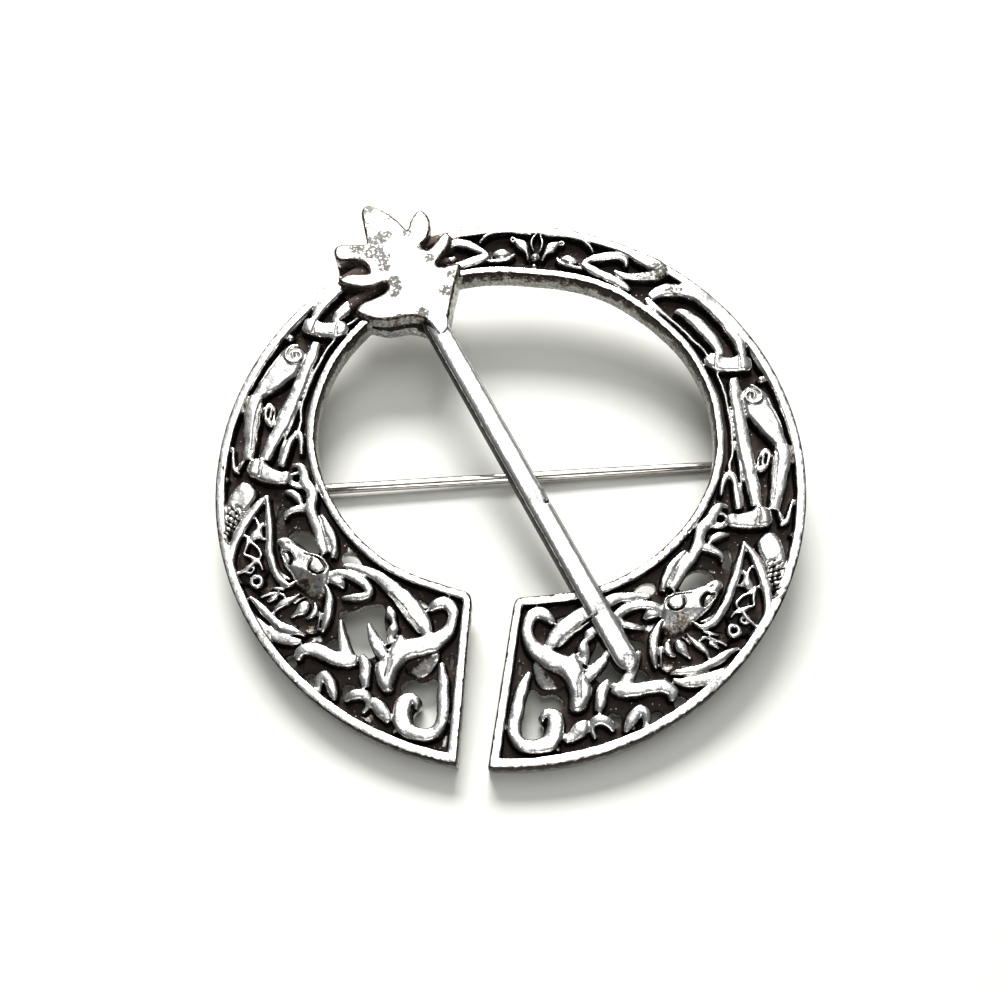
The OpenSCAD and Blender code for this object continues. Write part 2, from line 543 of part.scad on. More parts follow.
module hinge_joint() {
    ear_in = eye_t / 2 + run_clear;
    color("lightgray") rest() at_hinge() {
        translate([-hinge_base_l / 2, -base_w / 2, -base_z]) cube([hinge_base_l, base_w, sheet_t]);
        for (y = [-ear_in - sheet_t, ear_in])
            difference() {
                union() {
                    translate([-eye_d / 2, y, -hinge_z]) cube([eye_d, sheet_t, hinge_z - base_z + 0.2 * sheet_t]);
                    translate([0, y, -hinge_z]) rotate([-90, 0, 0])
                        cylinder(h = sheet_t, d = eye_d, $fn = 48);
                }
                translate([0, y - 0.1, -hinge_z]) rotate([-90, 0, 0])
                    cylinder(h = sheet_t + 0.2, d = rivet_d + 2 * fit_clear, $fn = 48);
            }
    }
}

module hinge_rivet() {
    half = eye_t / 2 + run_clear + sheet_t + fit_clear;
    color("gray") rest() at_hinge() translate([0, 0, -hinge_z]) rotate([-90, 0, 0]) {
        cylinder(h = 2 * half + 0.3 * rivet_d, d = rivet_d, center = true, $fn = 48);
        for (s = [0, 180]) rotate([s, 0, 0]) translate([0, 0, half])
            cylinder(h = 0.36 * rivet_d, d1 = 1.8 * rivet_d, d2 = 1.3 * rivet_d, $fn = 48);
    }
}

module pin_stem() {
    plain = neck_l + plain_l;
    shaft = pin_l + point_past - point_l - plain;
    color("whitesmoke") rest() at_hinge() translate([0, 0, -hinge_z]) rotate([0, pin_slope, 0]) {
        difference() {
            union() {
                rotate([-90, 0, 0]) cylinder(h = eye_t, d = eye_d, center = true, $fn = 48);
                translate([0.3 * eye_d, 0, 0]) rotate([0, 90, 0])
                    cylinder(h = neck_l - 0.3 * eye_d, d1 = 0.9 * eye_t, d2 = wire_d, $fn = 48);
            }
            rotate([-90, 0, 0])
                cylinder(h = eye_t + 1, d = rivet_d + 2 * run_clear, center = true, $fn = 48);
        }
        translate([neck_l, 0, 0]) rotate([0, 90, 0]) cylinder(h = plain_l, d = wire_d, $fn = 48);
        translate([plain, 0, 0]) rotate([0, 90, 0])
            cylinder(h = shaft, d1 = wire_d, d2 = wire_end_d, $fn = 48);
        translate([plain + shaft, 0, 0]) rotate([0, 90, 0])
            cylinder(h = point_l, d1 = wire_end_d, d2 = 0.2 * wire_end_d, $fn = 48);
    }
}

module catch_2d() {
    wedge = 3 * (catch_r + sheet_t);
    difference() {
        union() {
            circle(r = catch_r + sheet_t, $fn = 48);
            translate([-0.9 * catch_r, 0]) square([1.8 * catch_r, catch_z - base_z + 0.2 * sheet_t]);
        }
        circle(r = catch_r, $fn = 48);
        polygon([[0, 0], [-wedge * sin(catch_mouth), -wedge * cos(catch_mouth)], [0, -1.3 * wedge],
            [wedge * sin(catch_mouth), -wedge * cos(catch_mouth)]]);
    }
}

module pin_catch() {
    color("lightgray") rest() at_catch() {
        translate([-catch_base_l / 2, -base_w / 2, -base_z]) cube([catch_base_l, base_w, sheet_t]);
        translate([0, 0, -catch_z]) rotate([90, 0, 90])
            linear_extrude(catch_l, center = true) catch_2d();
    }
}

brooch_casting();
hinge_joint();
hinge_rivet();
pin_stem();
pin_catch();
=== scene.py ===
import math
import bpy
import bmesh
import numpy as np
from mathutils import Matrix, Vector


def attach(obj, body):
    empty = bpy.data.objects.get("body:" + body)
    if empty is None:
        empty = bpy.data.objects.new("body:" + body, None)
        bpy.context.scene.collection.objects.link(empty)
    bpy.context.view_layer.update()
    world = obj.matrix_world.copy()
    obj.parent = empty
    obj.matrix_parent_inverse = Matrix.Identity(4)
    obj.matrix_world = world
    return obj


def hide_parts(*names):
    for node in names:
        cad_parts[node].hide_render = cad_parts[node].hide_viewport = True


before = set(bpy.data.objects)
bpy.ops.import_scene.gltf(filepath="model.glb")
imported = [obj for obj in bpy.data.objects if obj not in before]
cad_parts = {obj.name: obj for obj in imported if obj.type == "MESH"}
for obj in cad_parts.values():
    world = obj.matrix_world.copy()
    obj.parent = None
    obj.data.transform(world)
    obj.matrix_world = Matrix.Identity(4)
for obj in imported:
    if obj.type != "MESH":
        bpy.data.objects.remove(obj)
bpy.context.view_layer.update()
print("frame loaded")

# Everything is made in millimetres in the ring's own frame (x right, y to the top, z out of
# the front). layDown turns a finished mesh to metres, in the pose the brooch rests in.
lying = {"tilt": 6.54966, "shift": -0.72555, "lift": 2.84832}
restPose = Matrix.Translation((0, lying["shift"], lying["lift"])) @ Matrix.Rotation(
    math.radians(lying["tilt"]), 4, "X")


def layDown(mesh):
    mesh.transform(Matrix.Scale(0.001, 4) @ restPose)
    mesh.update()


# Camera at the photograph's angle
view = {"place": (6.486, -50.506, 89.762), "aim": (-0.423, -3.739, 4.717), "roll": 1.88, "lens": 41.73}
camera = bpy.data.objects.new("camera", bpy.data.cameras.new("camera"))
bpy.context.scene.collection.objects.link(camera)
camera.data.sensor_width = 36
camera.data.lens = view["lens"]
camera.data.clip_start = 0.005
camera.data.clip_end = 20
place = Vector(view["place"]) * 0.001
look = (Vector(view["aim"]) * 0.001 - place).to_track_quat("-Z", "Y").to_matrix().to_4x4()
camera.matrix_world = Matrix.Translation(place) @ look @ Matrix.Rotation(math.radians(-view["roll"]), 4, "Z")
bpy.context.scene.camera = camera
print("camera placed")


# Tables of the ring's drawing, right half, in millimetres
opening = [
    (0, 19.65), (2.5, 19.6), (5, 19.25), (7.5, 18.4), (10, 16.95), (12, 15.4), (14, 13.4),
    (15.6, 10.9), (16.7, 8.2), (17.25, 5), (17.2, 2.3), (16.6, -0.2), (15.5, -2.7), (14, -4.9),
    (12.5, -6.6), (10.7, -8.1), (8.7, -9.3), (6.5, -10.1), (4.4, -10.6), (2.7, -10.95)]
holes = [
    [(12.5, -13.6), (11.2, -13.3), (9.8, -12.6), (8.8, -12.7), (8.7, -14), (8.2, -15.6),
     (8.9, -16.9), (10, -17.3), (11, -16.9), (11.4, -15.4), (12.2, -14.6)],
    [(13.1, -16.3), (12.6, -15.8), (12, -15.7), (11.8, -16.5), (11.9, -17.1), (12.9, -17.1)],
    [(6.5, -19.1), (6, -18.6), (5.4, -18.5), (4.8, -18.7), (4.2, -18.3), (3.7, -18.4),
     (3.4, -19.3), (3.4, -21.5), (3.8, -22.4), (4.6, -22.6), (5.1, -22), (5.1, -21.2),
     (4.6, -20.5), (5.1, -19.8), (6.3, -19.7)],
    [(17.9, -7.6), (17.1, -6.8), (16.3, -6.8), (15.5, -7.4), (14.9, -8.6), (15.8, -8.7), (16.9, -8)],
    [(13, -8.5), (12.4, -8.35), (11.8, -8.6), (11.3, -9.4), (12.2, -9.5), (13, -9.2)],
    [(19, -4.9), (18.5, -4.9), (18, -5.4), (18.3, -6), (18.7, -6.5), (19.2, -6.2)],
    [(14.4, -19.2), (13.9, -18.9), (13.4, -19.2), (13.4, -19.9), (14.2, -19.9)],
    [(16.2, -17.8), (15.6, -17.5), (15.2, -17.9), (15.3, -18.5), (16, -18.2)],
    [(11.2, -19.6), (10.3, -19.5), (10, -20), (10.4, -20.5), (11, -20.5)],
    [(2.9, -16.3), (2.65, -16.3), (2.6, -17.1), (2.85, -17.1)],
    [(6.3, -11.9), (5.8, -11.9), (5.2, -12.3), (5.7, -12.4)]]
# Rows of a line: x, y, half width, top as a share of the relief
strands = [
    # Terminal: frame and hook of the heart
    [(3.55, -17.1, 0.2, 0.9), (3.15, -18.6, 0.34, 1), (2.9, -20.4, 0.36, 1), (2.85, -21.9, 0.38, 1),
        (3.4, -22.75, 0.38, 1), (4.5, -22.95, 0.38, 1), (5.6, -22.6, 0.46, 1), (6.05, -21.6, 0.5, 1.02),
        (5.95, -20.6, 0.48, 1), (5.4, -20.2, 0.36, 0.95), (4.98, -20.55, 0.24, 0.9), (5, -21, 0.14, 0.8)],
    # Terminal: strand round the hollow
    [(5.05, -12.95, 0.2, 0.85), (4.6, -12.4, 0.34, 1), (3.8, -12.15, 0.4, 1), (3.2, -12.65, 0.36, 1),
        (3.05, -13.5, 0.32, 1), (3.3, -14.5, 0.4, 1), (4.1, -15.35, 0.52, 1), (5.2, -15.95, 0.58, 1.05),
        (6.4, -16.2, 0.55, 1.05)],
    # Limb beside the inner rim
    [(12.7, -9.75, 0.2, 0.8), (11, -9.95, 0.28, 0.9), (9.6, -10.5, 0.36, 1), (8.2, -11.4, 0.46, 1.05),
        (7, -12.4, 0.56, 1.08), (6, -13.4, 0.6, 1.08), (5.25, -14.3, 0.46, 1), (4.75, -15.1, 0.24, 0.9)],
    # Lappet behind the beast's brow, and the comma in it
    [(14.1, -11.2, 0.22, 0.9), (13.4, -10.75, 0.27, 1), (12.4, -10.55, 0.28, 1), (11.3, -10.8, 0.28, 1),
        (10.5, -11.3, 0.3, 1), (10.1, -11.9, 0.28, 1), (10.7, -12.35, 0.27, 0.95), (11.6, -12.5, 0.24, 0.9),
        (12.35, -12.6, 0.18, 0.8)],
    [(13.8, -11.35, 0.15, 0.8), (13.2, -11.2, 0.27, 0.95), (12.6, -11.4, 0.28, 0.9),
        (12.3, -11.75, 0.14, 0.7)],
    # Long back line, the thin line inside it and the other side of the wing
    [(20, -4.35, 0.16, 1), (19.75, -5.9, 0.24, 1.05), (19.35, -7.6, 0.26, 1.05), (18.9, -9.3, 0.26, 1.05),
        (18.3, -10.8, 0.26, 1.05), (17.5, -11.75, 0.25, 1), (16.8, -12, 0.2, 1), (16.25, -11.65, 0.13, 0.9)],
    [(18.75, -9.5, 0.1, 0.7), (18, -10.65, 0.14, 0.8), (17.35, -11.25, 0.14, 0.8), (16.8, -11.5, 0.1, 0.7)],
    [(20.05, -4.4, 0.16, 1), (20.8, -5.4, 0.27, 1), (21.5, -6.9, 0.3, 1), (21.95, -8.5, 0.28, 1),
        (22.1, -10, 0.25, 1), (21.7, -11, 0.2, 0.9), (20.8, -12.3, 0.15, 0.8)],
    # Fur
    [(18.3, -12.45, 0.1, 0.85), (17.7, -12.4, 0.13, 0.9), (17.1, -12.35, 0.1, 0.85)],
    [(18.95, -13.3, 0.1, 0.85), (18.3, -12.97, 0.13, 0.9), (17.6, -12.8, 0.12, 0.9), (17, -12.9, 0.16, 0.95),
        (16.85, -13.2, 0.1, 0.85)],
    [(18.35, -13.6, 0.14, 0.85), (17.95, -13.3, 0.2, 0.95), (17.55, -13.15, 0.14, 0.9)],
    [(17.6, -14.5, 0.1, 0.85), (17.4, -14, 0.2, 0.95), (17, -13.65, 0.26, 1), (16.5, -13.3, 0.24, 1),
        (16.05, -12.95, 0.15, 0.95), (15.75, -12.55, 0.1, 0.9)],
    [(16.2, -14.65, 0.14, 0.85), (15.8, -14.3, 0.22, 0.95), (15.45, -13.95, 0.32, 1), (15.2, -13.55, 0.3, 1),
        (15.05, -13.2, 0.16, 0.9)],
    [(15, -14.6, 0.12, 0.85), (14.6, -14.5, 0.22, 1), (14.33, -14.2, 0.26, 1), (14.25, -13.7, 0.22, 1),
        (14.45, -13.2, 0.14, 0.9)],
    [(16.1, -13.5, 0.07, 0.7), (15.7, -13.05, 0.08, 0.75), (15.3, -12.85, 0.06, 0.7)],
    [(16.9, -15, 0.08, 0.7), (16.2, -15.2, 0.1, 0.75), (15.5, -15.3, 0.08, 0.7)],
    # Net of the wing
    [(20.85, -6.3, 0.07, 0.85), (20.45, -6.85, 0.14, 0.95), (20.32, -7.4, 0.2, 0.95), (20.45, -8, 0.3, 0.95),
        (20.9, -8.3, 0.2, 0.9), (21.45, -8, 0.08, 0.85)],
    [(20, -6.8, 0.14, 0.9), (20.15, -7.4, 0.14, 0.9), (19.95, -8.1, 0.18, 0.9), (19.7, -8.2, 0.1, 0.85)],
    [(21.1, -8.1, 0.12, 0.9), (20.95, -8.9, 0.16, 0.95), (21.05, -9.75, 0.12, 0.9)],
    [(20.85, -8.6, 0.16, 0.95), (20.25, -8.85, 0.12, 0.95), (19.8, -9.25, 0.14, 0.95),
        (19.5, -9.7, 0.15, 0.95), (19.7, -10, 0.12, 0.9)],
    [(21, -9.8, 0.12, 0.95), (20.5, -9.9, 0.16, 0.95), (20, -10.15, 0.22, 0.95), (19.5, -10.4, 0.15, 0.95),
        (19.2, -10.9, 0.1, 0.9)],
    [(20.05, -10.2, 0.18, 0.95), (20.3, -10.65, 0.16, 0.95), (20.7, -11.1, 0.16, 0.95),
        (21.3, -11.5, 0.14, 0.9)],
    # Leaf
    [(19.95, -13.3, 0.14, 0.85), (18.95, -13.95, 0.25, 1), (18, -14.7, 0.28, 1), (17.1, -15.35, 0.28, 1),
        (16.2, -15.65, 0.28, 1), (15.3, -15.8, 0.22, 0.95), (14.7, -16.05, 0.12, 0.8)],
    [(20, -14.1, 0.15, 0.8), (19.2, -15.05, 0.28, 0.85), (18.2, -15.85, 0.34, 0.85),
        (17, -16.35, 0.36, 0.85), (15.8, -16.6, 0.3, 0.85), (14.9, -16.5, 0.15, 0.8)],
    # Band beside the fur
    [(13.75, -11.75, 0.14, 0.9), (13.4, -12.4, 0.22, 1), (13.2, -13.2, 0.27, 1), (13.2, -14.1, 0.26, 1),
        (13.3, -14.9, 0.24, 0.95), (13.5, -15.7, 0.14, 0.85)],
    [(13.8, -13.9, 0.08, 0.8), (13.82, -14.4, 0.1, 0.8), (13.9, -15.5, 0.08, 0.75)],
    # Spikes
    [(12.1, -14.5, 0.2, 1), (11.85, -15.5, 0.27, 1), (11.45, -16.6, 0.36, 1), (11.1, -17.4, 0.42, 0.95)],
    [(9.7, -14.55, 0.2, 1), (9.25, -15.5, 0.3, 1), (8.6, -16.4, 0.38, 1), (8.1, -17, 0.36, 0.95)],
    # Knobbly strand
    [(8.35, -12.85, 0.16, 0.85), (8.1, -13.5, 0.32, 1), (7.8, -14.15, 0.22, 0.9), (7.7, -14.8, 0.36, 1),
        (7.85, -15.4, 0.26, 0.9), (7.7, -15.95, 0.32, 0.95)],
    # Row of scrolls along the outer rim
    [(14.9, -18.2, 0.2, 0.85), (14.85, -17.5, 0.36, 1), (14.05, -17.1, 0.42, 1.05),
        (13, -17.35, 0.4, 1.05), (12, -17.65, 0.42, 1.05), (11, -17.75, 0.42, 1), (10.2, -17.6, 0.3, 0.9)],
    [(9.95, -17.2, 0.24, 0.9), (9.45, -17.9, 0.34, 1), (9.4, -18.9, 0.34, 1), (9.2, -19.7, 0.25, 0.9)],
    [(12.85, -20.5, 0.18, 0.8), (13, -19.6, 0.28, 0.95), (12.65, -19.1, 0.28, 1),
        (12.15, -19.5, 0.32, 0.95), (11.75, -20.3, 0.28, 0.9), (11.45, -21, 0.18, 0.8)],
    [(10.65, -21, 0.18, 0.8), (10.2, -20.45, 0.3, 0.95), (9.5, -20.25, 0.32, 1), (8.95, -20.5, 0.28, 0.95),
        (8.85, -21.1, 0.22, 0.85), (9.2, -21.7, 0.18, 0.8)],
    [(8.5, -20.5, 0.22, 0.85), (8.05, -21.05, 0.42, 0.95), (7.45, -21.65, 0.36, 0.9),
        (6.85, -22.2, 0.24, 0.85)],
    # Long strand from the lower clamp to the beast's brow, with its branches
    [(18.6, -1.4, 0.16, 0.9), (17.95, -1.35, 0.25, 1), (17.4, -1.95, 0.28, 1), (17.1, -2.75, 0.32, 1),
        (16.55, -3.4, 0.34, 1), (16.3, -4.2, 0.34, 1), (16.25, -5, 0.36, 1.05), (15.85, -6, 0.34, 1.05),
        (15.2, -7.1, 0.33, 1.05), (14.75, -8.2, 0.3, 1), (14.3, -9, 0.26, 0.95)],
    [(15.3, -5.6, 0.16, 0.9), (14.7, -6.4, 0.26, 1), (14.1, -7.35, 0.28, 1), (13.75, -8.3, 0.26, 1),
        (13.6, -9.3, 0.2, 0.9)],
    [(18.35, -6.3, 0.13, 0.8), (18.2, -5.75, 0.22, 0.95), (17.5, -5.35, 0.26, 1), (16.8, -5.15, 0.28, 1),
        (16.3, -5, 0.25, 1)],
    [(18.75, -3.8, 0.15, 0.9), (18.1, -3.95, 0.26, 1), (17.45, -4.3, 0.26, 1), (17.1, -4.8, 0.15, 0.9)],
    [(18.35, -3.15, 0.13, 0.9), (17.75, -3.3, 0.18, 0.95), (17.2, -3.2, 0.18, 0.95)],
    # Arch at the lower clamp, and the thin lines between bar and inner rim
    [(19.45, -1.5, 0.24, 1), (19.3, -0.4, 0.26, 1), (19.05, 0.8, 0.24, 1), (18.6, 1.75, 0.24, 1),
        (18.15, 1, 0.22, 1), (17.95, -0.25, 0.18, 0.95)],
    [(18.6, 1.8, 0.16, 0.9), (18.55, 2.8, 0.14, 0.85), (18.75, 4, 0.14, 0.85), (18.55, 6, 0.14, 0.9),
        (18.15, 8, 0.14, 0.9), (17.6, 10, 0.14, 0.85), (17, 11.6, 0.12, 0.8)],
    [(19.8, -1.2, 0.1, 0.85), (19.6, 0.8, 0.12, 0.9), (19.3, 2.8, 0.12, 0.9), (19.05, 4.6, 0.1, 0.8)],
    # Straight bar between the clamps
    [(20.95, -1.1, 0.32, 1), (20.7, 0.2, 0.4, 1.05), (20.3, 1.8, 0.44, 1.05), (19.95, 3.4, 0.45, 1.05),
        (19.6, 5, 0.43, 1.05), (19.3, 6.4, 0.42, 1.05), (19, 8, 0.38, 1.05), (18.75, 9.4, 0.38, 1.05),
        (18.55, 10.8, 0.28, 0.95)],
    # Shin
    [(22.9, 4.8, 0.42, 1.05), (22.95, 3.8, 0.52, 1.1), (22.85, 2.6, 0.52, 1.05), (22.7, 1.2, 0.46, 1.05),
        (22.55, 0, 0.4, 1), (22.4, -1.2, 0.34, 0.95)],
    # Knot between shin and bar
    [(21.95, 4.2, 0.12, 0.6), (21.8, 3.4, 0.2, 0.75), (21.4, 2.6, 0.26, 0.8), (21, 2.4, 0.18, 0.75),
        (21, 3.2, 0.12, 0.65), (21.2, 4.3, 0.1, 0.5)],
    # Ridge inside the outer rim
    [(23.85, 3.2, 0.1, 0.8), (23.7, 5, 0.12, 0.85), (23.2, 7, 0.14, 0.85), (22.5, 9, 0.14, 0.85),
        (21.6, 11, 0.14, 0.85), (20.4, 12.8, 0.14, 0.85), (19.6, 14.4, 0.12, 0.8)],
    # Foot of the shin
    [(24, -0.1, 0.12, 0.8), (23.75, -1.2, 0.16, 0.85), (23.55, -2.1, 0.2, 0.85), (23, -2.5, 0.15, 0.75)],
    [(22.7, -1.2, 0.14, 0.8), (23, -1.7, 0.2, 0.85), (23.3, -2.4, 0.13, 0.7)],
    # Two strands above the upper clamp, and the thin one beside the inner rim
    [(19.3, 13.1, 0.25, 0.9), (18.9, 14.4, 0.38, 1), (18.1, 15.8, 0.44, 1), (17, 17.2, 0.46, 1),
        (15.8, 18.4, 0.46, 1.05), (14.4, 19.2, 0.48, 1.05), (12.9, 19.4, 0.46, 1.05),
        (11.6, 19, 0.42, 1), (10.7, 18.4, 0.28, 0.95)],
    [(17.35, 13, 0.25, 0.9), (17, 13.8, 0.36, 1), (16.3, 14.8, 0.4, 1), (15.4, 15.8, 0.4, 1),
        (14.4, 16.7, 0.38, 1), (13.55, 17.2, 0.28, 0.95), (13, 17.1, 0.14, 0.8)],
    [(16.1, 12.9, 0.12, 0.8), (15.2, 13.95, 0.16, 0.85), (14.1, 15.1, 0.16, 0.85),
        (12.9, 16.2, 0.16, 0.85), (11.7, 17.1, 0.24, 0.9), (10.9, 17.7, 0.28, 0.9), (10.4, 18.4, 0.18, 0.8)],
    # Knot: outer loop, then inner loop
    [(6.6, 23.65, 0.16, 0.9), (7.6, 23.35, 0.26, 1), (8.8, 22.9, 0.34, 1), (10, 22.3, 0.44, 1.02),
        (11.1, 21.75, 0.52, 1.05), (11.65, 21.15, 0.46, 1.05), (11, 20.7, 0.38, 1), (10, 20.5, 0.32, 1),
        (8.8, 20.4, 0.27, 1), (8, 20.5, 0.27, 1), (7.3, 20.85, 0.18, 0.95)],
    [(8.35, 21.5, 0.16, 0.85), (8.2, 22.1, 0.26, 0.95), (7.5, 22.5, 0.3, 1), (6.5, 22.4, 0.33, 1),
        (5.6, 22.15, 0.3, 1), (4.9, 21.8, 0.24, 0.95), (4.45, 21.4, 0.26, 1), (5, 21, 0.3, 1),
        (6, 20.5, 0.32, 1), (7.2, 19.95, 0.3, 1), (8.2, 19.4, 0.28, 1), (8.9, 18.95, 0.2, 0.9)],
    # Arch beside the middle ornament, almond with its lower line, teardrop and the middle leaf's side
    [(5.25, 22.75, 0.13, 0.9), (4.8, 23.4, 0.17, 1), (4, 23.95, 0.17, 1), (3, 24.15, 0.16, 1),
        (1.8, 24.2, 0.15, 1), (0.6, 24.15, 0.12, 0.95)],
    [(3.9, 21.5, 0.14, 0.9), (3.45, 21.68, 0.28, 1), (3, 21.74, 0.32, 1.05), (2.5, 21.74, 0.2, 0.95),
        (2.3, 21.76, 0.1, 0.9)],
    [(4.3, 20.95, 0.14, 0.8), (3.3, 21.1, 0.18, 0.85), (2.4, 21.35, 0.17, 0.85), (1.95, 21.9, 0.12, 0.8)],
    [(2, 23.5, 0.13, 0.9), (1.6, 23.15, 0.32, 1), (1.25, 22.65, 0.33, 1), (0.9, 22.1, 0.18, 0.95),
        (0.65, 21.4, 0.1, 0.8)],
    [(0.16, 24.2, 0.07, 0.9), (0.5, 23.5, 0.1, 0.95), (0.5, 22.9, 0.1, 0.95), (0.28, 22.3, 0.08, 0.85)]
]
clamps = [
    [(22.2, -1.75, 0.42, 1), (21.6, -1.9, 0.66, 1.25), (20.9, -2.25, 0.56, 1.15), (20.2, -2.5, 0.52, 1.15),
     (19.4, -2.62, 0.47, 1.1), (18.8, -2.58, 0.44, 1.15), (18.45, -2.5, 0.28, 1)],
    [(20, 12.5, 0.42, 1), (19.4, 12.35, 0.6, 1.2), (18.4, 12.15, 0.53, 1.15), (17.3, 12.15, 0.53, 1.15),
     (16.6, 12.4, 0.56, 1.2), (16.1, 12.8, 0.33, 1)]]
# Outline, top as a share of the relief, edge radius, slope across and along in millimetres each
masses = [
    # Shoulder above the heart, and the slope down into its hole
    ([(7, -15.1), (7.6, -15.9), (8.2, -17.1), (8.7, -17.8), (8.55, -18.8), (8, -19.8), (7.1, -19.9),
        (6.95, -19), (6.75, -18), (6.1, -17.2), (5.2, -16.8), (5, -16), (6.2, -15.6)], 1.08, 0.5,
        (0.05, 0.04)),
    ([(6.5, -17.3), (5.2, -16.2), (4.1, -15.8), (3.75, -16.6), (4.1, -17.6), (4.7, -18.2), (5.4, -18.2),
        (6.2, -18)], 0.38, 0.12, (0, 0.3)),
    # Wing
    ([(20.15, -5.4), (20.9, -6.2), (21.5, -8), (21.85, -9.8), (21.3, -11.2), (20.4, -12.2), (19.3, -11.6),
        (18.9, -10.7), (19.3, -9), (19.7, -7.2)], 0.3, 0.2, (0, 0)),
    # Feather
    ([(22.9, -3.7), (22.3, -3.2), (21.6, -3.4), (21.1, -4.1), (21.2, -5), (21.8, -6.3), (22.3, -8),
        (22.5, -9.3), (22.85, -9.3), (23.15, -8), (23.45, -6.2), (23.4, -4.7)], 0.9, 0.45, (0, 0.05)),
    # Ground of the fur
    ([(19.2, -12.3), (17, -12), (15, -12.4), (13.9, -13), (13.9, -15.6), (15.6, -15.6), (17.2, -14.9),
        (18.8, -13.6)], 0.35, 0.2, (0, 0)),
    # Lump between shin and bar
    ([(22.1, 4.3), (21.9, 3), (21.5, 2.2), (20.95, 2.1), (20.85, 3), (21.15, 4.2), (21.6, 4.6)], 0.6, 0.25,
        (0, 0)),
    # Thigh
    ([(23.4, 4.4), (23.2, 5.6), (22.75, 7), (22.15, 8.4), (21.6, 9.5), (21, 10.2), (20.2, 10.35),
        (19.5, 9.9), (19.2, 9), (19.55, 8), (19.75, 7.3), (20.3, 6.8), (21.2, 5.6), (22.2, 4.75),
        (22.5, 4.2)], 1.02, 0.5, (0, 0))]
# Grooves: rows of x, y, half width and depth
grooves = [
    # Hatching of the feather
    [(21.9, -5.9, 0.07, 0.25), (22.7, -5.5, 0.06, 0.15)], [(22.1, -6.4, 0.07, 0.3), (23.1, -5.7, 0.06, 0.25)],
    [(22.1, -6.8, 0.06, 0.3), (23.2, -6.3, 0.07, 0.3)], [(22.3, -7.2, 0.06, 0.3), (23, -6.9, 0.07, 0.3)],
    [(22.2, -7.7, 0.07, 0.3), (23.1, -7.2, 0.06, 0.3)], [(22.5, -8, 0.06, 0.3), (22.9, -7.8, 0.06, 0.3)],
    [(22.4, -8.5, 0.07, 0.35), (23, -8.1, 0.06, 0.3)], [(22.5, -9, 0.06, 0.3), (22.8, -8.7, 0.06, 0.3)],
    [(22.5, -5.6, 0.06, 0.2), (22.45, -7, 0.07, 0.3), (22.6, -8.6, 0.07, 0.3)],
    [(22.9, -5.9, 0.05, 0.2), (22.85, -7.4, 0.06, 0.3)],
    # Beast: nostril, hollow of the far eye, ring of the near eye
    [(17.45, -8.48, 0.1, 0.35), (17.35, -8.55, 0.1, 0.35)],
    [(17.75, -9.2, 0.13, 0.5), (17.2, -9.25, 0.17, 0.5), (16.85, -9.75, 0.17, 0.55),
        (16.95, -10.25, 0.15, 0.5), (17.4, -9.95, 0.07, 0.35), (17.75, -9.45, 0.1, 0.4)],
    [(15.9, -9.25, 0.08, 0.35), (15.2, -9.35, 0.09, 0.4), (14.6, -9.55, 0.1, 0.45), (14.1, -10.05, 0.12, 0.45),
        (14.1, -10.5, 0.12, 0.45), (14.6, -10.8, 0.11, 0.45), (15.2, -10.65, 0.1, 0.45),
        (15.42, -10.2, 0.1, 0.4), (15.25, -9.6, 0.09, 0.35)],
    # Lines along the thigh, the shin, the clamps and the shoulder
    [(22.9, 6.2, 0.08, 0.12), (22.1, 8, 0.1, 0.16), (21.5, 9.2, 0.08, 0.12)],
    [(22.4, 4.2, 0.07, 0.2), (22.5, 2.6, 0.08, 0.22), (22.38, 1, 0.08, 0.22), (22.25, -0.4, 0.07, 0.2)],
    [(21.15, -1.3, 0.08, 0.3), (21.05, -2.7, 0.08, 0.3)], [(19.05, 11.7, 0.08, 0.2), (18.95, 12.9, 0.08, 0.2)],
    [(16.95, 11.7, 0.08, 0.2), (16.95, 12.9, 0.08, 0.2)],
    [(7.9, -16.6, 0.1, 0.2), (7.6, -17.6, 0.12, 0.25), (7.7, -18.8, 0.1, 0.2)],
    [(8.4, -11.9, 0.1, 0.25), (7.3, -12.9, 0.14, 0.35), (6.3, -13.95, 0.14, 0.35), (5.6, -14.7, 0.1, 0.25)],
    # Pits of the lump between shin and bar
    [(21.65, 3.9, 0.14, 0.45), (21.55, 3.1, 0.14, 0.45)], [(21.15, 3.7, 0.1, 0.35), (21.2, 2.9, 0.12, 0.35)],
    # Nick in the shank
    [(4, -2.3, 0.22, 0.6), (3.4, -2.65, 0.14, 0.3)],
    # Line along the top of the inner rim
    [(17.2, -1.5, 0.06, 0.12), (16.2, -2.9, 0.06, 0.12), (15.4, -4, 0.06, 0.12)]
]
